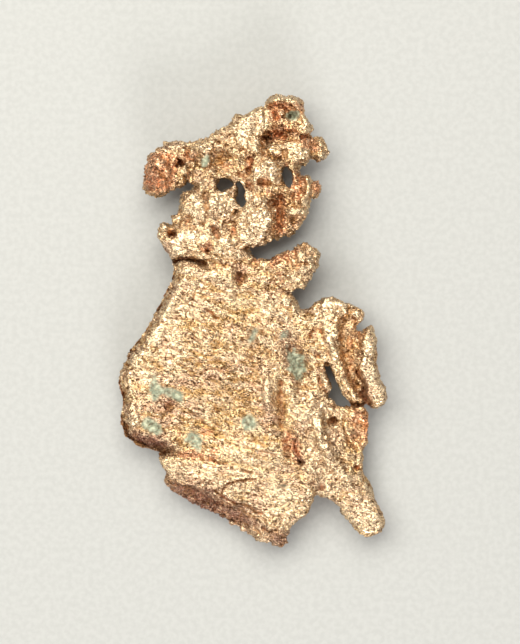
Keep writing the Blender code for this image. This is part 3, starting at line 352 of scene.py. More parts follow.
# Flat-topped plates that stand up from the skin, each a lift and an outline of (x, y).
PLATES = {
    "broad_blister": (0.3, [(-2.6, 22), (-1.4, 22.8), (-0.6, 23.6), (0.4, 24.8), (1.8, 25.2), (3, 24.6),
        (3.6, 23.4), (4.6, 22.6), (5, 21.6), (4.6, 20.6), (3.6, 19.4), (3.4, 17.9), (3, 16.8), (1.8, 15.8),
        (-0.2, 15.2), (-2, 15.4), (-3, 16.8), (-3.4, 18.4), (-3.2, 20)]),
    "left_blister": (0.22, [(-9, 25.2), (-7.8, 26), (-6.2, 25.6), (-4.6, 26.4), (-3.2, 25.8), (-3, 24.4),
        (-2.8, 23), (-4, 22), (-4.6, 20.8), (-5.4, 20), (-6.2, 18.8), (-7.4, 19.2), (-8.2, 20.8),
        (-8.8, 22.8)]),
    "tongue": (0.28, [(-13, 25.2), (-12, 26), (-11, 25.4), (-10.6, 24), (-9.6, 23.2), (-9.6, 20.4),
        (-11, 20), (-12.6, 20.8), (-13.8, 21.6), (-14.6, 22.2), (-14.6, 23.4), (-14.2, 24.4)]),
    "low_shelf": (0.2, [(-18.6, 16.4), (-16.6, 16.6), (-15.2, 17.6), (-13.8, 18.4), (-11.4, 18.4),
        (-9.4, 18.2), (-7.8, 17.2), (-6.6, 15.8), (-5.4, 14.4), (-7, 13.6), (-10.6, 14.4), (-12.2, 14),
        (-14, 13.4), (-16, 13.6), (-17.6, 14.6)]),
    "small_plate": (0.65, [(6.4, 22.4), (7.8, 22.8), (9.4, 22.6), (10.6, 22.4), (10.8, 21.2), (9.4, 20.7),
        (7.8, 21), (6.8, 21.4)]),
    "right_ridge": (0.6, [(9.8, 28.8), (10.6, 29.8), (11.6, 29.4), (12, 27.8), (11.6, 26), (11.2, 24.4),
        (11, 23), (9.6, 22.8), (9.4, 24.4), (10, 26.4)]),
    "inner_plate": (0.25, [(-0.2, 29.2), (0.6, 30.8), (1.8, 31.8), (3.4, 32.4), (5, 32), (5.4, 30.4),
        (5.4, 28.8), (6, 27.6), (4.6, 27.2), (3, 28.2), (1.4, 28.2), (0.2, 28)]),
    "right_plate": (0.28, [(6.2, 35), (7.2, 36), (8.2, 36.4), (9.4, 35.8), (11, 35.1), (11.8, 34),
        (11.4, 32.4), (9.8, 32), (8.6, 31.2), (7.4, 31.8), (7, 33.1), (6.6, 34.4)]),
    "crown_slope": (0.22, [(-4.6, 40.8), (-2.6, 41.2), (-0.6, 42), (1, 42.8), (2.2, 41.8), (3, 40.4),
        (3.4, 38.8), (2.2, 37.8), (1.6, 36.1), (1.8, 34.4), (0.4, 33.1), (-1.4, 33.6), (-2.4, 35.1),
        (-3.4, 36.8), (-5, 37.6), (-5.8, 38.8)]),
    "crown_edge": (0.3, [(9.4, 41.2), (10.6, 41), (11.2, 39.6), (11.2, 38.6), (11.8, 38.1), (11.6, 37.4),
        (9.8, 37.1), (8.6, 38.1), (9.4, 39.2), (9.6, 40.2)]),
    "cap": (0.3, [(3, 44.2), (4.6, 44.8), (6.6, 45), (8.6, 44.8), (9.6, 43.8), (9.6, 42), (8.6, 42),
        (7.4, 43.4), (5.8, 43.6), (4.2, 43.2), (3, 43.2)]),
    "arm_saddle": (0.45, [(-19.8, 32), (-18.6, 32.8), (-17.4, 32.4), (-17.2, 31), (-18.2, 30.4),
        (-19.4, 30.6)]),
    "arm_band": (0.25, [(-18.6, 34.1), (-16.6, 35.6), (-13.6, 35.8), (-10.6, 35.6), (-9, 34.8), (-9.4, 34),
        (-11.4, 34.4), (-13, 34), (-13.8, 32.8), (-15.4, 32.4), (-17, 33.1), (-18.4, 33.1)]),
    "rose_block": (0.35, [(2.6, 35.1), (4.2, 35.6), (6, 34.8), (6.2, 33.1), (4.6, 32.8), (3, 33),
        (2.2, 34)]),
    "loop_inner_top": (0.4, [(13.8, 4.5), (14.6, 5), (15.6, 4.2), (17.4, 4), (18.6, 3.4), (18.8, 2),
        (18, 0.8), (17, 0.8), (16.6, -0.7), (17.2, -1.7), (17.6, -3.2), (16.6, -3.9), (16, -4),
        (16.8, -5.7), (17, -7.2), (16.6, -8.5), (15.6, -7.7), (15.4, -5.7), (15.4, -4.5), (14.2, -3.7),
        (14, -1.7), (13.8, 0.8), (13.6, 2.8)]),
    "loop_inner_low": (0.25, [(17.6, -7.2), (19, -10.1), (20.6, -13.2), (21.8, -15.2), (20.2, -15.5),
        (18.6, -13.2), (17, -10.1), (16.2, -7.7)]),
    "loop_outer": (0.4, [(22, -2.7), (23.4, -0.7), (24.2, -1.1), (24.6, -3.7), (24.2, -6.1), (24, -8.7),
        (25, -10.7), (26.2, -13.7), (26.6, -16.1), (25, -17.1), (23.6, -16.2), (22.6, -14.1), (21.4, -11.2),
        (21.2, -8.7), (22, -6.1)]),
    "loop_block": (0.3, [(21, -9.2), (22.6, -8.8), (23.4, -9.7), (23.4, -11.2), (21.4, -11.2)]),
    "leaf": (0.5, [(13.2, -10.1), (14.6, -9.7), (15.6, -11.2), (16, -13.2), (15, -14.2), (13.8, -12.9)]),
}

# Pockets sunk between them, each a depth and an outline.
POCKETS = {
    "crown_valley": (0.3, [(1.8, 36.6), (3, 37.6), (4.4, 38.1), (5.4, 38.8), (6.6, 38.4), (7.6, 37.8),
        (7, 36.6), (5.6, 36.1), (4.6, 36.6), (3.6, 36), (2.6, 35.1), (1.8, 35.6)]),
    "under_cap": (0.55, [(3, 43), (4.6, 43.2), (6.2, 43.4), (7.4, 43), (6.6, 42.4), (4.6, 42.2),
        (3.4, 41.8)]),
    "cap_groove": (0.8, [(3.6, 42), (4.4, 42.2), (5, 40.4), (4.4, 40)]),
    "orange_slot": (0.5, [(-1, 33.1), (-0.4, 32.4), (0, 31), (-0.4, 29.6), (-1, 30.4), (-1.2, 32)]),
    "gold_bowl": (0.6, [(-1.4, 28.2), (-0.6, 28.4), (0.2, 27.6), (0.4, 26.4), (-0.6, 26), (-1.4, 26.8)]),
    "arch": (0.9, [(1.4, 27.4), (2, 28), (3, 28), (3.6, 27), (3, 26.6), (1.8, 26.8)]),
    "gold_hollow": (0.3, [(-8.4, 34), (-7, 34.4), (-5.4, 34), (-4.6, 32.8), (-5.4, 31.2), (-7, 30.6),
        (-8.2, 31.4), (-8.6, 32.8)]),
    "arm_pit": (0.8, [(-15.2, 32.4), (-13.8, 32.4), (-13.8, 31.4), (-14.6, 31), (-15.4, 31.6)]),
    "channel": (0.3, [(3.6, 24.4), (4.8, 23.4), (5.2, 22), (4.8, 20.4), (4, 18.8), (3.8, 17.4), (5.2, 17.2),
        (6, 18.8), (6.4, 20.4), (6, 22.4), (6.2, 23.8), (7, 25.2), (6.2, 25.4), (5, 24.6)]),
    "plate_foot": (0.4, [(6.6, 20.8), (7.8, 21), (9.2, 20.6), (8.8, 19.6), (7.4, 19.8)]),
    "blister_pit": (0.7, [(-10.4, 20.2), (-9.4, 20.2), (-9, 19.4), (-9.8, 19.2)]),
    "blister_foot": (0.6, [(-8.2, 19.2), (-7.4, 18.8), (-6.8, 17.6), (-6.6, 16.4), (-7.4, 16.8),
        (-8, 17.9)]),
    "blister_gap": (0.5, [(-6.2, 19.2), (-5, 19.4), (-4, 20.4), (-3.2, 20.2), (-3.4, 18.8), (-4.6, 18.4),
        (-5.8, 18.6)]),
    "shelf_pit": (0.6, [(-9.8, 15.4), (-8.4, 15.4), (-7.6, 14.4), (-8.6, 13.6), (-9.8, 14.4)]),
    "left_pocket": (0.4, [(-17, 18.8), (-15.4, 18.2), (-15.4, 17.2), (-16.6, 16.8), (-17.4, 17.6)]),
    "inner_pit": (0.8, [(-2.6, 29.6), (-1.2, 29.6), (-1.2, 28.6), (-2.6, 28.6)]),
    "slot_foot": (0.5, [(-4.2, 22.8), (-3, 22.8), (-2.6, 22.2), (-3.4, 21.6), (-4.2, 22)]),
    "knob_hollow": (0.9, [(11.6, 33.4), (12.6, 33.6), (13.2, 32.8), (12.8, 32.1), (11.8, 32.4)]),
    "rose_gap": (0.6, [(6, 31.8), (7, 31.4), (7.4, 30.6), (6.6, 30.4)]),
    "loop_trough": (0.4, [(17, 0.8), (19.4, 1.2), (21, -0.7), (21.2, -3.7), (21, -6.7), (20.6, -9.2),
        (21, -11.7), (21.8, -14.1), (20.8, -13.7), (19.4, -11.2), (18, -8.1), (17.2, -4.7)]),
    "grey_recess": (0.3, [(7.2, -5.2), (8.6, -4.5), (10, -5.7), (10.6, -7.7), (10.4, -10.5), (9.6, -12.2),
        (8.6, -10.9), (7.6, -8.1)]),
}

# The slit right through beside the loop, as a path of (x, y, radius).
SLIT = [(14.4, -7.4, 0.25), (15.2, -9.6, 0.45), (16.1, -12, 0.55), (16.8, -13.9, 0.8), (17.4, -15, 0.7),
    (18.8, -16, 0.4)]

# Flanks that slope, each a width, a drop and a path on the outline.
FLANKS = [
    (2.1, 1.3, [(-15.5, 11.5), (-16.3, 7.9), (-17.6, 5.5), (-20.2, 0.9), (-23, -3.7), (-25.2, -7.5),
        (-26.7, -10), (-26.9, -12.2), (-26, -14.3), (-25.9, -16.2), (-26.4, -18), (-26.2, -20.5)]),
    (2.2, 2.4, [(-26, -20.8), (-25.2, -22.7), (-23, -24.3), (-20.2, -25.1), (-17.4, -25.6)]),
]

STREAK_TURN = 14  # degrees by which the folds fall towards +X

# How coarse the skin is, as mounds of (x, y, reach x, reach y, strength, turn): near 0 on the rolled plate
# and ledge, 1 on the spongy branches.
COARSE = [
    (13.6, 34.6, 2.4, 3.4, 0.9), (13, 27, 2.4, 2.4, 0.9), (19.4, -5, 2.4, 8, 0.5, 5), (-16, 31, 9, 9, 1),
    (0, 36, 13, 13, 1.1), (-4, 22, 16, 9, 1), (9, 11.5, 7, 6, 1.2), (20, -6, 6, 13, 0.8),
    (13, -22, 7, 8, 0.6), (6, -6, 7, 9, 0.45), (-24, -22, 6, 4, 0.5), (-6, -39, 12, 3.5, 0.5, -30),
    (-9, -37, 10, 2.6, 0.5, -30), (6, -43, 5, 4, 0.8), (20, -32, 6, 9, 0.3, 20), (-10, -26, 9, 2, 0.4, -8),
]


def inside(places, outline):
    """How far inside an outline each point lies in plan, less than 0 outside: the distance to the nearest
    side, its sign from the number of sides that a line towards +X crosses."""
    x, y = places[:, 0], places[:, 1]
    nearest = np.full(len(places), np.inf)
    within = np.zeros(len(places), bool)
    for (x0, y0), (x1, y1) in zip(outline, outline[1:] + outline[:1]):
        _, east, north = off_stretch(places, (x0, y0), (x1, y1))
        nearest = np.minimum(nearest, np.hypot(east, north))
        if y0 != y1:
            within ^= ((y0 > y) != (y1 > y)) & (x < x0 + (y - y0) * (x1 - x0) / (y1 - y0))
    return np.where(within, nearest, -nearest)


def stepped(places, shapes, edge):
    """The greatest height at each point among flat shapes (height, outline) that rise over this edge."""
    best = np.zeros(len(places))
    for height, outline in shapes.values():
        low, high = np.min(outline, axis=0) - edge, np.max(outline, axis=0) + edge
        near = np.flatnonzero(((places[:, :2] > low) & (places[:, :2] < high)).all(axis=1))
        rise = height * ramp(inside(places[near], outline), -0.5 * edge, 0.5 * edge)
        best[near] = np.maximum(best[near], rise)
    return best


def raised(places):
    """Height of plates and buttons, which are told apart one by one."""
    total = stepped(places, PLATES, 0.5)
    for row in LUMPS:
        total = np.maximum(total, dome(places, *row))
    return total


def sunk(places):
    """Depth of pockets, hollows and creases."""
    total = stepped(places, POCKETS, 0.6)
    for x, y, radius, depth in HOLLOWS:
        total = np.maximum(total, mound(places, x, y, radius, radius, depth))
    for half, depth, path in CREASES.values():
        total = np.maximum(total, depth * np.exp(-((off_path(places, path) / half) ** 2)))
    return total


def terraced(values, step, sharp):
    """Whole steps with steep fronts: the count of steps below a value, plus a quick ramp at mid step."""
    level = values / step
    whole = np.floor(level)
    return (whole + ramp(level - whole, 0.5 - sharp, 0.5 + sharp)) * step


def bent_by(places, size, reach, salt):
    """The places pushed about by a slow ripple, so that edges measured on them wander."""
    push = np.stack([ripple(places, size, salt + k) for k in range(3)], axis=1)
    return places + reach * push


body = rough_casting(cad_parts["copper_nugget"], "nugget_body")
places, outward = points_of(body)
upper = ramp(outward[:, 2], -0.1, 0.45)

# The plate's left flank slopes away to the outline instead of standing upright.
FLANK_CURVE = 1.4
FLANK_FOOT, FLANK_HEAD = 3.0, 6.0  # heights between which the slope sets in
FLANK_COARSENESS = 0.55
rugged = np.zeros(len(places))
edge_wander = bent_by(places, 1.8, 0.7, 25)
for width, drop, path in FLANKS:
    near = np.clip(1 - off_path(edge_wander, path) / width, 0, 1)
    rugged = np.maximum(rugged, FLANK_COARSENESS * ramp(near, 0.0, 0.4))
    places[:, 2] -= drop * near**FLANK_CURVE * upper * ramp(places[:, 2], FLANK_FOOT, FLANK_HEAD)

# Plates, buttons, pockets and creases that can be told apart one by one, on the upper side.
EDGE_WANDER = (1.6, 0.25, 1)  # size, reach and salt of the ripple along their edges
wander = bent_by(places, *EDGE_WANDER)
high_parts = raised(wander)
low_parts = sunk(wander)
places[:, 2] += (high_parts - low_parts) * upper
put_points(body, places)

# Folds and grains left by the copper's growth. A pair of depths is the depth on rolled metal and what full
# coarseness adds to it. An added 17 or 31 moves one noise's lattice away from another's.
LEAF_SIZE, LEAF_STEP, LEAF_DEPTH = 2.3, 0.4, 0.42
SCALE_SIZE, SCALE_STEP, SCALE_DEPTH = 1.25, 0.5, 0.36
GRAIN_SIZE, GRAIN_DEPTH = 1.0, 0.30
CAVITY_SIZE, CAVITY_DEPTH = 2.2, 0.14
FURROW_SIZE, FURROW_DEPTHS = 0.95, (0.08, 0.34)
FINE_SIZE, FINE_DEPTHS = 0.56, (0.05, 0.11)
PEBBLE_SIZE, PEBBLE_DEPTHS = 0.74, (0.10, 0.32)
SWELL_SIZE, SWELL_DEPTH = 4.5, 0.06
SHEET_SIZE, SHEET_DEPTH, SHEET_STRETCH = 1.9, 0.20, 0.4
MEAN_FOLD = 0.33  # about the mean of a ripple without its sign, taken off so that folding lifts nothing
SIDE_COARSENESS, MOST_COARSE = 0.55, 1.15
places, outward = points_of(body)
under = ramp(-outward[:, 2], 0.2, 0.8)
side = 1 - np.abs(outward[:, 2])

# The sides are coarser than the top, and plate tops and the underside have been rubbed flatter.
coarse = np.clip(sum(mound(places, *row) for row in COARSE), 0, MOST_COARSE)
coarse = np.maximum.reduce([coarse * (1 + 0.3 * side), SIDE_COARSENESS * side, rugged])
coarse *= 1 - 0.4 * ramp(high_parts, 0.08, 0.3)

bent = bent_by(places, 2.6, 0.9, 1)
stirred = bent_by(places, 1.1, 0.3, 14)
leaves = terraced(ripple(bent, LEAF_SIZE, 4), LEAF_STEP, 0.14)
scales = terraced(ripple(stirred, SCALE_SIZE, 5), SCALE_STEP, 0.16)
small, small_next = nodules(stirred, GRAIN_SIZE, 6)
grains = np.clip(small_next - small, 0, 0.5) - 0.22
pebble, _ = nodules(stirred + 17.0, PEBBLE_SIZE, 16)
furrow = np.abs(ripple(stirred, FURROW_SIZE, 7)) - MEAN_FOLD
fine = ripple(places, FINE_SIZE, 8)
cavities = ramp(ripple(bent + 31.0, CAVITY_SIZE, 10), 0.34, 0.6)
relief = coarse * (
    LEAF_DEPTH * leaves + SCALE_DEPTH * scales + GRAIN_DEPTH * grains - CAVITY_DEPTH * cavities
)
furrow_depth, fine_depth, pebble_depth = (
    even + added * coarse for even, added in (FURROW_DEPTHS, FINE_DEPTHS, PEBBLE_DEPTHS)
)
relief += furrow_depth * furrow + fine_depth * fine
relief += pebble_depth * (0.5 - pebble)
relief += SWELL_DEPTH * ripple(places, SWELL_SIZE, 9)
along, across = turned(places, 0, 0, -STREAK_TURN)
drawn_out = np.stack([SHEET_STRETCH * along, across, places[:, 2]], axis=1)
sheets = np.abs(ripple(drawn_out + 0.3 * stirred, SHEET_SIZE, 24)) - MEAN_FOLD
relief += SHEET_DEPTH * sheets * (1 - 0.5 * coarse)
relief *= 1 - 0.4 * under

# Thin walls round the openings keep only a share of it.
for outline in HOLES.values():
    relief *= ramp(off_path(places, outline + outline[:1]), 0.0, 1.2) * 0.7 + 0.3
places += outward * relief[:, None]

# The slit is kept clear: whatever stands nearer to its line than the radius there is pushed out to it.
wall_waves = ripple(places, 1.4, 15)
for start, end in zip(SLIT, SLIT[1:]):
    share, east, north = off_stretch(places, start, end)
    away = np.stack([east, north], axis=1)
    gap = np.linalg.norm(away, axis=1) + 1e-9
    wall = (start[2] + share * (end[2] - start[2])) * (1 + 0.25 * wall_waves)
    places[:, :2] += away / gap[:, None] * np.clip(wall - gap, 0, None)[:, None]

# It is worn flat where it rests, and it passes the solid's own box by no more than this room each way.
ROOM = np.array([0.3, 0.5, 0.15])
low, high = (np.array(corner) / MM for corner in cad_box)
places = np.clip(places, low - ROOM * [1, 1, 0], high + ROOM)
put_points(body, places)

trim = body.modifiers.new("trim", "DECIMATE")
trim.ratio = MOST_TRIANGLES / (2 * len(body.data.polygons))
settled(body)
thinned = points_of(body)[0]
thinned[:, 2] = np.maximum(thinned[:, 2], low[2])
put_points(body, thinned)
body.data.polygons.foreach_set("use_smooth", np.ones(len(body.data.polygons), bool))


def ends_of(obj):
    """The two point numbers of every edge."""
    ends = np.empty(len(obj.data.edges) * 2, np.int64)
    obj.data.edges.foreach_get("vertices", ends)
    return ends.reshape(-1, 2)


def spread(values, ends, times):
    """Each point's value averaged with its neighbours' again and again: half its own, half their mean."""
    a, b = ends[:, 0], ends[:, 1]
    count = np.bincount(a, minlength=len(values)) + np.bincount(b, minlength=len(values))
    columns = []
    for column in np.atleast_2d(values.T):
        for _ in range(times):
            total = np.bincount(a, column[b], len(values)) + np.bincount(b, column[a], len(values))
            column = 0.5 * column + 0.5 * total / count
        columns.append(column)
    return np.stack(columns, axis=-1).reshape(values.shape)


def carry(obj, name, values):
    """Keeps one number for each point of the mesh under a name that its material can read."""
    layer = obj.data.attributes.new(name, "FLOAT", "POINT")
    layer.data.foreach_set("value", values.astype(np.float32))


# Films and tints, as mounds of (x, y, reach x, reach y, strength, turn). Green and grey copper carbonate
# lies in the plate's low places, orange and yellow oxide in the folds, the steep foot of the ledge is
# purple tarnish deepened by painted shade, and what stands up is rubbed pale.
GREEN = [
    (-19.6, -13.2, 1, 2.6, 1.3), (-17, -13.8, 2.4, 1, 1.1, -8), (-14.8, -15.2, 1.1, 0.9, 0.9),
    (-20.6, -20.6, 1.9, 1.8, 1), (-18.8, -21.6, 1.4, 1, 0.9), (-11.5, -23.7, 1.6, 2.2, 1.2, 30),
    (-0.9, -20.1, 1.3, 1.3, 2), (-7.4, -11.9, 0.9, 0.7, 0.8), (8.4, -7.8, 2.2, 3, 1, 10),
    (9.2, -9.8, 1, 1.6, 1.1), (6, -2.6, 1.4, 1.6, 0.62, -30), (-0.2, -2.6, 2, 2.6, 0.66),
    (7.9, 41, 1.3, 1.2, 1.2), (-9.4, 32, 0.9, 1.5, 1.1, -15), (6.2, -32.6, 0.8, 0.7, 0.9),
    (1.6, -15, 1, 2, 0.5),
]
ORANGE = [
    (-9, -22, 1.4, 1.2, 0.7), (-7.6, -25.4, 2.4, 1, 0.7, -10), (-12.8, -26.2, 2, 0.8, 0.8),
    (-14.8, -22, 1.2, 1, 0.5), (-4, -18, 2.4, 1.6, 0.4), (-18.4, 27.6, 2.2, 1.6, 0.7, 20),
    (-16.6, 31.4, 1.6, 1.2, 0.9), (-2, 1.6, 4, 4.4, 0.32), (3, -8, 3, 5, 0.3), (-8, -14, 6, 3, 0.3, -10),
    (-14, -4, 4, 2.4, 0.2, -14), (-4, -22, 6, 2.4, 0.3, -10), (10, -2, 1.6, 4, 0.4),
    (8, 30.6, 3.6, 4.6, 0.3), (6.6, 39, 4, 3.6, 0.5), (-6, 31.4, 3.6, 2.2, 0.15), (12.4, 35, 2, 2, 0.7),
    (12.8, 26.8, 1.4, 2.4, 0.5), (-18.8, 29.4, 3, 4, 0.8), (-14, 32.6, 2.4, 1.6, 0.7),
    (6, 11.6, 4.4, 2.4, 0.4, 15), (18, -10, 2.4, 7, 0.4, 10), (20.4, -24.4, 3, 4.4, 0.5),
    (9.4, 42.6, 2.6, 2, 0.7), (-2.6, 33.6, 2.6, 2, 0.3), (-20.2, 29.3, 2.4, 3.2, 0.9),
    (-17, 29.6, 2.6, 2.4, 0.8), (-18, 32.4, 2, 1.4, 0.7), (-11.8, 33.3, 1.6, 1.3, 0.6),
    (4.1, 41.3, 1.3, 1.9, 1), (3.7, 36.9, 1.4, 1.2, 0.9), (6.3, 37.8, 2, 1, 0.7), (-0.7, 31.5, 0.8, 2, 1.1),
    (8.3, 26, 1.1, 3.2, 0.9), (5.5, 22.8, 1.1, 2.4, 1), (6.2, 18.6, 2.2, 1.4, 0.8),
    (9.4, 19.8, 1.8, 1, 0.7), (2.8, 25.6, 1.6, 1.2, 0.7), (-9.4, 15.2, 1.8, 1.2, 0.9),
    (0.6, 12.1, 1, 1.6, 0.8), (4.2, 12.2, 1.6, 1.4, 0.9), (7.8, 13.9, 2.4, 1, 0.9, 20),
    (-4.3, 30.9, 2.2, 1.2, 0.5), (-2.6, 8.8, 1.2, 1.4, 1), (6.4, -24.6, 1, 2.6, 0.9),
    (16, 0.6, 1.4, 2.2, 0.6), (5.4, -16.2, 1.5, 4.6, 0.5, 8), (19.4, -5.6, 1.9, 8.4, 0.45, 4),
    (-8.6, -27.3, 6.4, 1.1, 0.9, -10), (20.8, -18.8, 2.2, 1.8, 0.8), (-12, -23, 3, 2.6, 0.5),
    (10.6, 35.6, 1.6, 1.4, 0.8), (5.4, 42.6, 2.4, 1, 0.8), (9.4, 27.2, 1.4, 2.8, 0.7),
    (5.6, 21.4, 0.9, 4.2, 0.8), (13, 26.8, 1.5, 1.8, 0.7), (-3.8, 18.4, 1.3, 2.2, 0.7),
    (-16.2, 17.8, 1.4, 1.2, 0.8), (4.4, 33.4, 1.6, 1.2, 0.6), (-9, 14.4, 1.1, 1.2, 0.7),
    (22.4, -21, 2, 3.6, 0.7, -12), (8.6, -25.4, 1.5, 4.2, 1, 14), (-6.4, 33, 1.9, 2.2, 0.42),
    (12.6, -2.5, 1.3, 1.3, 0.7),
]
PURPLE = [
    (-3.7, -32.4, 4.8, 0.5, 0.4, 14), (-2.1, -36.5, 4, 0.6, 0.6, -22), (-9, -33, 2, 0.5, 0.6, -20),
    (-7, -13, 8, 5, 0.3, -12), (0.6, -6, 4, 5, 0.16), (-12, -2, 5, 4, 0.1, -14),
    (7.8, -6.8, 2.2, 3.4, 0.7, 10), (6, -2.6, 1.5, 1.6, 0.8), (-0.1, -2.8, 1.6, 2.4, 0.6),
    (3.6, -18.6, 1.4, 3, 0.5, 10), (9.6, -27.6, 1.2, 1.4, 0.7), (-10.4, -36.2, 9, 3, 1.4, -31),
    (-1, -39.4, 5, 1.6, 0.6, -27), (5.6, -43.6, 2.8, 2, 0.9), (-20.8, -23.6, 5, 1.7, 1.3, -16),
    (-17.6, 13.4, 1.6, 2.8, 0.8), (-20.2, 28.4, 2.6, 3.6, 0.6), (-2.4, 9.4, 1.2, 1.6, 0.9),
    (8.6, -24.4, 1.4, 2.2, 0.6), (-17, 34.6, 5, 1.2, 0.5, 18), (22.8, -13.6, 1.2, 3.4, 0.8, 8),
    (14, -32.6, 2, 1.2, 0.5), (-16.8, -16.6, 1.7, 1.9, 1),
]
PALE = [
    (12.4, -19, 1.6, 4.4, 0.8, -12), (3, -14, 1.4, 4, 0.7), (-12, -29.6, 6, 2.6, 0.5, -14),
    (-4, -26.4, 4, 2, 0.6, -14), (-23, -17, 1.4, 2.4, 0.6), (-19, 32.6, 1.6, 1, 0.8, 20),
    (-15.6, 33.6, 2.4, 1.4, 0.7, 10), (-16, 28.6, 1.2, 1, 0.6), (5.4, 26, 1.2, 1.4, 0.6),
    (6.4, 19.6, 1, 1, 0.6), (-3, 26.6, 2.2, 1.2, 0.6), (-19.6, 30.6, 2, 1.8, 0.8),
    (-17.6, 27, 2.4, 1.2, 0.7, 20), (-12, 35, 5, 1.2, 0.8, 18), (-10.6, 28.6, 2.4, 2.4, 0.6),
    (6, 44, 3.4, 1.2, 0.7), (10.6, 39.6, 1.2, 2.4, 0.6), (13.4, 35.6, 1.2, 1, 0.8),
    (10.8, 27, 1.2, 3.8, 1.1), (22.6, -9, 1.4, 8, 0.9, 10), (-2, 21, 6, 6, 0.9), (-8, 23, 4, 4, 0.8),
    (-12, 22, 3, 4, 0.9), (-12, 16, 6, 2, 0.7), (0, 38, 4, 6, 0.8, -40), (3, 30, 3, 2.4, 0.8),
    (9.8, 34, 3, 2.4, 0.6), (10, 28, 1.4, 3, 0.8), (8.8, 21.8, 2.6, 1.1, 1.3), (-6, 36.6, 6, 1.6, 0.5, 20),
    (10, 10.4, 2.4, 3, 0.7), (16, -4, 1.6, 8, 0.8), (-3, -30.4, 9, 3.6, 0.3, -12), (5, -34, 5, 5, 0.7),
    (14, -26, 4, 8, 0.8, 25), (22, -38, 3, 4, 0.9), (-19, 0, 2.4, 8, 0.6, 30), (-14, 6, 4, 4, 0.5),
    (4, 2, 3, 5, 0.5), (3, -12, 2, 6, 0.6), (-22, -10, 2.4, 4, 0.4), (13.4, -22, 2, 6, 0.8),
    (9, 14, 4, 2, 0.4), (-2, 14, 3, 1.6, 0.6),
]

# How far each point lies under the mean of its surroundings, after a few, more and many rounds of
# averaging, tells the nips, pinches and dips of the metal from its rims.
CLOSE_ROUNDS, NEAR_ROUNDS, WIDE_ROUNDS, BROAD_ROUNDS = 2, 7, 60, 12
places, outward = points_of(body)
ends = ends_of(body)
upper = ramp(outward[:, 2], -0.2, 0.3)
nip, pinch, dip = (
    ((spread(places, ends, rounds) - places) * outward).sum(axis=1)
    for rounds in (CLOSE_ROUNDS, NEAR_ROUNDS, WIDE_ROUNDS)
)
patchy = ripple(places, 1.6, 21) * 0.6 + ripple(places, 0.7, 22) * 0.4
blotch = ripple(places, 5.0, 23)
wander = bent_by(places, *EDGE_WANDER)
low_parts = sunk(wander) * upper
under_side = ramp(-outward[:, 2], 0.1, 0.6)
rough, bright_spots, orange_spots, purple_spots = (
    np.clip(sum(mound(places, *row) for row in rows), 0, 1)
    for rows in (COARSE, PALE, ORANGE, PURPLE)
)
# The hollow mask tints concave places orange-brown: partly earth lodged there, partly painted shade.
hollow_earth_and_shade = np.clip(0.7 * ramp(dip, 0.15, 0.7) + 0.3 * ramp(pinch, 0.02, 0.09), 0, 1)
hollow_earth_and_shade = np.maximum(hollow_earth_and_shade, 0.8 * ramp(low_parts, 0.2, 0.7)) * (1 - 0.6 * bright_spots)
# Near-black painted shade in the deepest pits.
deep_pit_shade = 0.6 * ramp(dip + 0.3 * low_parts, 0.9, 1.5) * upper
# Painted shade in the sharpest creases.
crease_shade_mask = ramp(nip, 0.012, 0.05) * (0.7 - 0.35 * rough)
pale = np.maximum(bright_spots, ramp(raised(wander), 0.1, 0.3) + 0.3 * rough) * upper * (1 - hollow_earth_and_shade)
# Convex rims are paled: partly wear, partly painted highlight.
rim_wear_and_highlight = ramp(-pinch, 0.005, 0.06) * (1 - hollow_earth_and_shade)
green = sum(mound(places, *row) for row in GREEN) * upper
green = ramp(green + 0.5 * patchy, 0.42, 0.7)
green = np.maximum(green, under_side * ramp(blotch + 0.5 * patchy, 0.55, 0.95) * 0.9)
# Purple on the underside and on steep sides, and orange on steep sides, stand partly for tarnish and partly
# for painted shade.
flank = ramp(1 - spread(outward, ends, BROAD_ROUNDS)[:, 2] + 0.12 * patchy, 0.08, 0.5)
purple = np.clip(purple_spots * ramp(1.3 - outward[:, 2] + 0.3 * patchy, 0.0, 0.5), 0, 1)
purple = np.maximum.reduce([purple, 0.7 * under_side, 0.12 * flank])
orange = np.clip(orange_spots * upper * (0.75 + 0.5 * patchy), 0, 1)
orange = np.maximum(orange, 0.45 * flank * (1 - under_side) * ramp(blotch + patchy, -0.5, 0.7))
carried = {
    "hollow_earth_and_shade": hollow_earth_and_shade, "rim_wear_and_highlight": rim_wear_and_highlight, "green": green, "orange": orange,
    "purple": purple, "pale": pale, "deep_pit_shade": deep_pit_shade, "crease_shade_mask": crease_shade_mask,
}
for name, values in carried.items():
    carry(body, name, values)


def wire(tree, source, target):
    """Joins an output socket to an input socket."""
    tree.links.new(source, target)


def node_of(tree, kind, **settings):
    """A new shader node of this kind, with its settings made."""
    made = tree.nodes.new(kind)
    for key, value in settings.items():
        setattr(made, key, value)
    return made


def reading(tree, name):
    """The number that the mesh carries under this name."""
    made = node_of(tree, "ShaderNodeAttribute", attribute_type="GEOMETRY", attribute_name=name)
    return made.outputs["Fac"]


def reckoned(tree, operation, first, second, clamp=False):
    """The result of an operation on two amounts, each a socket or a number."""
    made = node_of(tree, "ShaderNodeMath", operation=operation, use_clamp=clamp)
    for socket, value in zip(made.inputs, (first, second)):
        if isinstance(value, (int, float)):
            socket.default_value = value
        else:
            wire(tree, value, socket)
    return made.outputs[0]


def times(tree, first, second):
    return reckoned(tree, "MULTIPLY", first, second)


def plus(tree, first, second):
    return reckoned(tree, "ADD", first, second)


def held_back(tree, value, amount, share):
    """A value times one less a share of the amount."""
    return times(tree, value, reckoned(tree, "SUBTRACT", 1.0, times(tree, amount, share)))


def ranged(tree, value, low, high, to_low=0.0, to_high=1.0):
    """One amount at low and another at high, with a smooth curve between."""
    made = node_of(tree, "ShaderNodeMapRange", interpolation_type="SMOOTHSTEP")
    wire(tree, value, made.inputs["Value"])
    made.inputs["From Min"].default_value = low
    made.inputs["From Max"].default_value = high
    made.inputs["To Min"].default_value = to_low
    made.inputs["To Max"].default_value = to_high
    return made.outputs["Result"]


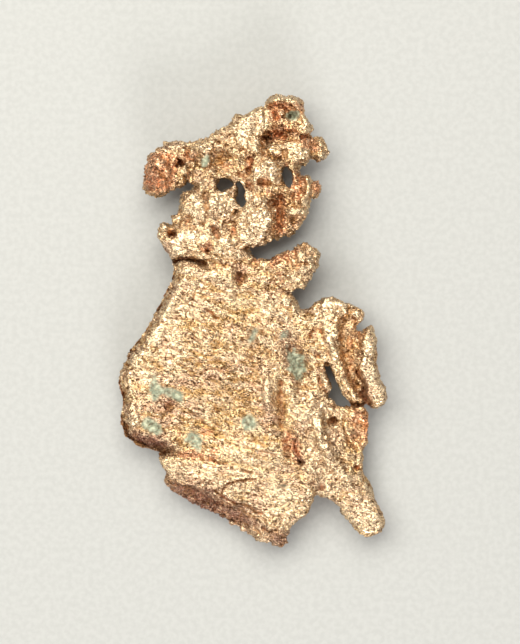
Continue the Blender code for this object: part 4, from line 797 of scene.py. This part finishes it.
def tinted(tree, amount, first, second, blend="MIX"):
    """One colour laid over another by an amount. A colour is a socket or (red, green, blue)."""
    made = node_of(tree, "ShaderNodeMix", data_type="RGBA", blend_type=blend)
    for name, value in (("Factor_Float", amount), ("A_Color", first), ("B_Color", second)):
        socket = next(s for s in made.inputs if s.identifier == name)
        if isinstance(value, (int, float)):
            socket.default_value = value
        elif isinstance(value, tuple):
            socket.default_value = (*value, 1.0)
        else:
            wire(tree, value, socket)
    return next(s for s in made.outputs if s.identifier == "Result_Color")


def speckle(tree, place, size, detail=2.0, roughness=0.55):
    """Noise whose grains are this many millimetres wide."""
    made = node_of(tree, "ShaderNodeTexNoise")
    wire(tree, place, made.inputs["Vector"])
    made.inputs["Scale"].default_value = 1 / size
    made.inputs["Detail"].default_value = detail
    made.inputs["Roughness"].default_value = roughness
    return made


PALE_COPPER = (0.98, 0.78, 0.52)
CREAM_COPPER = (0.90, 0.71, 0.46)
ROSE_COPPER = (0.84, 0.57, 0.38)
GOLD_COPPER = (0.64, 0.39, 0.15)
LINE_SHADE = (0.12, 0.055, 0.02)
GRIT_SHADE = (0.42, 0.26, 0.12)
CREASE_SHADE = (0.24, 0.10, 0.04)
RUST_HOLLOW_SHADE = (0.80, 0.34, 0.17)
OCHRE_HOLLOW_SHADE = (0.78, 0.48, 0.19)
BLACK_PIT_SHADE = (0.09, 0.04, 0.025)
ORANGE_OXIDE = (0.90, 0.35, 0.14)
YELLOW_OXIDE = (0.82, 0.54, 0.17)
PURPLE_TARNISH_AND_SHADE = (0.27, 0.09, 0.065)
PALE_GREEN = (0.51, 0.55, 0.39)
GREY_GREEN = (0.25, 0.29, 0.20)

copper = bpy.data.materials.new("native_copper_skin")
copper.use_nodes = True
tree = copper.node_tree
metal = tree.nodes["Principled BSDF"]
spot_at = node_of(tree, "ShaderNodeTexCoord").outputs["Object"]
in_mm = node_of(tree, "ShaderNodeVectorMath", operation="SCALE")
wire(tree, spot_at, in_mm.inputs[0])
in_mm.inputs["Scale"].default_value = 1 / MM
place = in_mm.outputs[0]


def pushed(tree, place, size, reach):
    """Places moved about by a noise, by up to half the reach."""
    centred = node_of(tree, "ShaderNodeVectorMath", operation="SUBTRACT")
    wire(tree, speckle(tree, place, size).outputs["Color"], centred.inputs[0])
    centred.inputs[1].default_value = (0.5, 0.5, 0.5)
    moved = node_of(tree, "ShaderNodeVectorMath", operation="MULTIPLY_ADD")
    wire(tree, centred.outputs[0], moved.inputs[0])
    moved.inputs[1].default_value = (reach, reach, reach)
    wire(tree, place, moved.inputs[2])
    return moved.outputs[0]


def streaked(tree, place, turn, along, across):
    """Places turned about the vertical and then scaled, so that a noise read there lies in streaks."""
    made = node_of(tree, "ShaderNodeMapping", vector_type="POINT")
    wire(tree, place, made.inputs["Vector"])
    made.inputs["Rotation"].default_value = (0.0, 0.0, float(np.radians(turn)))
    scaled = node_of(tree, "ShaderNodeVectorMath", operation="MULTIPLY")
    wire(tree, made.outputs["Vector"], scaled.inputs[0])
    scaled.inputs[1].default_value = (along, across, 1.0)
    return scaled.outputs[0]


def folds_of(tree, place, size, turns, detail, roughness):
    """Rounded folds between thin valleys: a noise's level times a count, folded to and fro, 0 to 0.5."""
    level = times(tree, speckle(tree, place, size, detail, roughness).outputs["Fac"], turns)
    return reckoned(tree, "PINGPONG", level, 0.5)


# The skin is a crowd of level folds under half a millimetre wide, with thin valleys, darkened by painted
# shade, that break off and join again. Wider folds, three or four times that, lie under them.
FINE_FOLD, FINE_TURNS = 0.9, 5.5
WIDE_FOLD, WIDE_TURNS = 3.4, 6.0
GRIT, BREAK, CLOUD, VEIL = 0.22, 0.8, 2.3, 5.5
FOLD_STREAKS = (0.5, 1.5)  # scales along and across the streaks
GRIT_STREAKS = (0.8, 1.2)
swept = pushed(tree, place, 1.0, 0.7)
streaks = streaked(tree, swept, STREAK_TURN, *FOLD_STREAKS)
folded = folds_of(tree, streaks, FINE_FOLD, FINE_TURNS, 2.5, 0.6)
wide_folded = folds_of(tree, streaks, WIDE_FOLD, WIDE_TURNS, 3.0, 0.6)
valley = ranged(tree, folded, 0.05, 0.17, 1.0, 0.0)
wide_valley = ranged(tree, wide_folded, 0.015, 0.075, 1.0, 0.0)
gritty = streaked(tree, place, STREAK_TURN, *GRIT_STREAKS)
grit = speckle(tree, gritty, GRIT, 2.0, 0.6).outputs["Fac"]
veil = speckle(tree, place, VEIL, 3.0, 0.55).outputs["Fac"]
cloud = speckle(tree, streaks, CLOUD, 4.0, 0.62).outputs["Fac"]
breaks = speckle(tree, place, BREAK, 1.0, 0.5).outputs["Fac"]

hollow_earth_and_shade, rim_wear_and_highlight, green, orange, purple, pale, deep_pit_shade, crease_shade_mask = (reading(tree, name) for name in carried)

# The bare metal: cream and rose, golden in clouds, pale where it is rubbed, and paler on convex rims, which
# is partly wear and partly a painted highlight.
tone = tinted(tree, ranged(tree, veil, 0.44, 0.6), CREAM_COPPER, ROSE_COPPER)
golden = ranged(tree, cloud, 0.44, 0.6, 0.1, 0.95)
golden = reckoned(tree, "SUBTRACT", golden, times(tree, pale, 0.6), clamp=True)
tone = tinted(tree, golden, tone, GOLD_COPPER)
rubbed_and_rim_highlight = reckoned(tree, "MAXIMUM", times(tree, pale, 0.8), times(tree, rim_wear_and_highlight, 0.7))
tone = tinted(tree, rubbed_and_rim_highlight, tone, PALE_COPPER)

# Oxide, purple tarnish with painted shade on steep and downward faces, and the orange-brown of the hollows:
# partly earth, partly painted shade.
oxide = tinted(tree, ranged(tree, orange, 0.3, 0.6), YELLOW_OXIDE, ORANGE_OXIDE)
oxidised = times(tree, orange, ranged(tree, breaks, 0.4, 0.56, 0.95, 0.5))
tone = tinted(tree, oxidised, tone, oxide)
tarnish_and_side_shade = times(tree, purple, ranged(tree, grit, 0.42, 0.62, 1.0, 0.55))
tone = tinted(tree, tarnish_and_side_shade, tone, PURPLE_TARNISH_AND_SHADE)
earth_and_shade_tint = tinted(tree, ranged(tree, veil, 0.42, 0.58), RUST_HOLLOW_SHADE, OCHRE_HOLLOW_SHADE)
earth_and_shade = times(tree, hollow_earth_and_shade, ranged(tree, breaks, 0.4, 0.56, 0.9, 0.4))
tone = tinted(tree, earth_and_shade, tone, earth_and_shade_tint)

# Painted shade in the valleys between the folds and dirt in the grit, with the green film over it; then
# painted shade in the creases and near-black painted shade in the deepest pits.
valley_shade_lines = times(tree, valley, ranged(tree, breaks, 0.34, 0.54, 0.5, 1.0))
wide_valley_shade_lines = times(tree, wide_valley, ranged(tree, veil, 0.4, 0.55, 0.5, 1.0))
valley_shade_lines = held_back(tree, reckoned(tree, "MAXIMUM", valley_shade_lines, wide_valley_shade_lines), rim_wear_and_highlight, 0.15)
tone = tinted(tree, ranged(tree, grit, 0.38, 0.54, 0.25, 0.0), tone, GRIT_SHADE, "MULTIPLY")
tone = tinted(tree, valley_shade_lines, tone, LINE_SHADE, "MULTIPLY")
film = tinted(tree, ranged(tree, breaks, 0.44, 0.66), GREY_GREEN, PALE_GREEN)
covered = times(tree, green, ranged(tree, grit, 0.38, 0.5, 0.6, 1.0))
tone = tinted(tree, covered, tone, film)
tone = tinted(tree, crease_shade_mask, tone, CREASE_SHADE, "MULTIPLY")
tone = tinted(tree, deep_pit_shade, tone, BLACK_PIT_SHADE)
wire(tree, tone, metal.inputs["Base Color"])

bare = reckoned(tree, "SUBTRACT", 1.0, times(tree, covered, 0.9), clamp=True)
wire(tree, held_back(tree, bare, tarnish_and_side_shade, 0.3), metal.inputs["Metallic"])
dull = ranged(tree, grit, 0.3, 0.7, 0.23, 0.37)
dull = plus(tree, dull, times(tree, hollow_earth_and_shade, 0.15))
dull = plus(tree, dull, times(tree, covered, 0.4))
dull = reckoned(tree, "SUBTRACT", dull, times(tree, rim_wear_and_highlight, 0.06), clamp=True)
wire(tree, dull, metal.inputs["Roughness"])

# Heights in tenths of a millimetre: folds, the valleys under the painted valley shade, and grit, fuller
# on the purple foot of the ledge and softer on rubbed metal and under the film.
height = times(tree, folded, 1.1)
height = plus(tree, height, times(tree, valley_shade_lines, -0.9))
height = plus(tree, height, times(tree, grit, 0.5))
height = times(tree, height, plus(tree, 1.0, times(tree, purple, 1.5)))
height = held_back(tree, height, pale, 0.3)
height = held_back(tree, height, covered, 0.6)
bump = node_of(tree, "ShaderNodeBump")
bump.inputs["Strength"].default_value = 1.0
bump.inputs["Distance"].default_value = 0.1 * MM
wire(tree, height, bump.inputs["Height"])
wire(tree, bump.outputs["Normal"], metal.inputs["Normal"])

body.data.materials.clear()
body.data.materials.append(copper)
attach(body, "root")
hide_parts("copper_nugget")

# ----------------------------------------------------------------------
# Table top: a wide sheet of pale grey matt board under the nugget. It isn't part of the object.
# ----------------------------------------------------------------------
TABLE_HALF = 1.2
BOARD_GREY = (0.44, 0.45, 0.44)
FLECK_SHADE = 0.93
FLECKS_PER_METRE = 900

board_mesh = bpy.data.meshes.new("table_board")
corners = np.array([[-1, -1, 0], [1, -1, 0], [1, 1, 0], [-1, 1, 0]]) * TABLE_HALF
board_mesh.from_pydata(corners.tolist(), [], [(0, 1, 2, 3)])
board = bpy.data.objects.new("table_board", board_mesh)
bpy.context.scene.collection.objects.link(board)
matt = bpy.data.materials.new("matt_board")
matt.use_nodes = True
paper = matt.node_tree.nodes["Principled BSDF"]
paper.inputs["Roughness"].default_value = 0.75
paper.inputs["Specular IOR Level"].default_value = 0.3
flecks = node_of(matt.node_tree, "ShaderNodeTexNoise")
flecks.inputs["Scale"].default_value = FLECKS_PER_METRE
board_spot = node_of(matt.node_tree, "ShaderNodeTexCoord").outputs["Object"]
wire(matt.node_tree, board_spot, flecks.inputs["Vector"])
shade = ranged(matt.node_tree, flecks.outputs["Fac"], 0.3, 0.7)
darker = tuple(FLECK_SHADE * part for part in BOARD_GREY)
wire(matt.node_tree, tinted(matt.node_tree, shade, darker, BOARD_GREY), paper.inputs["Base Color"])
board.data.materials.append(matt)

# ----------------------------------------------------------------------
# Light and camera: a broad soft lamp beyond the crown, a weak fill, and a camera straight overhead.
# ----------------------------------------------------------------------
def soft_lamp(name, place, size, watts, tint):
    """A rectangular lamp that faces the nugget."""
    lamp = bpy.data.lights.new(name, "AREA")
    lamp.shape = "RECTANGLE"
    lamp.size, lamp.size_y = size
    lamp.energy = watts
    lamp.color = tint
    obj = bpy.data.objects.new(name, lamp)
    obj.location = place
    obj.rotation_mode = "QUATERNION"
    obj.rotation_quaternion = (-Vector(place)).to_track_quat("-Z", "Y")
    bpy.context.scene.collection.objects.link(obj)


soft_lamp("broad_lamp", (-0.16, 0.31, 0.59), (1.00, 0.54), watts=8.8, tint=(1.0, 0.96, 0.88))
soft_lamp("fill_lamp", (0.10, -0.56, 0.26), (0.30, 0.20), watts=2.6, tint=(1.0, 0.97, 0.95))
SKY = (0.93, 0.90, 0.87)
sky = bpy.data.worlds.new("studio")
sky.use_nodes = True
sky_light = sky.node_tree.nodes["Background"]
sky_light.inputs["Color"].default_value = (*SKY, 1.0)
sky_light.inputs["Strength"].default_value = 0.5
bpy.context.scene.world = sky
bpy.context.scene.view_settings.view_transform = "Standard"

CAMERA_HEIGHT = 0.42
MIDDLE = (0.0014, 0.0, 0.0055)  # what the camera looks at, half way up the nugget
FIELD = 0.1288  # long side of the view at that height
SENSOR = 36.0
camera = bpy.data.cameras.new("overhead")
camera.sensor_width = SENSOR
camera.lens = SENSOR * CAMERA_HEIGHT / FIELD
camera.clip_start = 0.01
camera.clip_end = 10.0
overhead = bpy.data.objects.new("overhead", camera)
overhead.location = (MIDDLE[0], MIDDLE[1], MIDDLE[2] + CAMERA_HEIGHT)
bpy.context.scene.collection.objects.link(overhead)
bpy.context.scene.camera = overhead
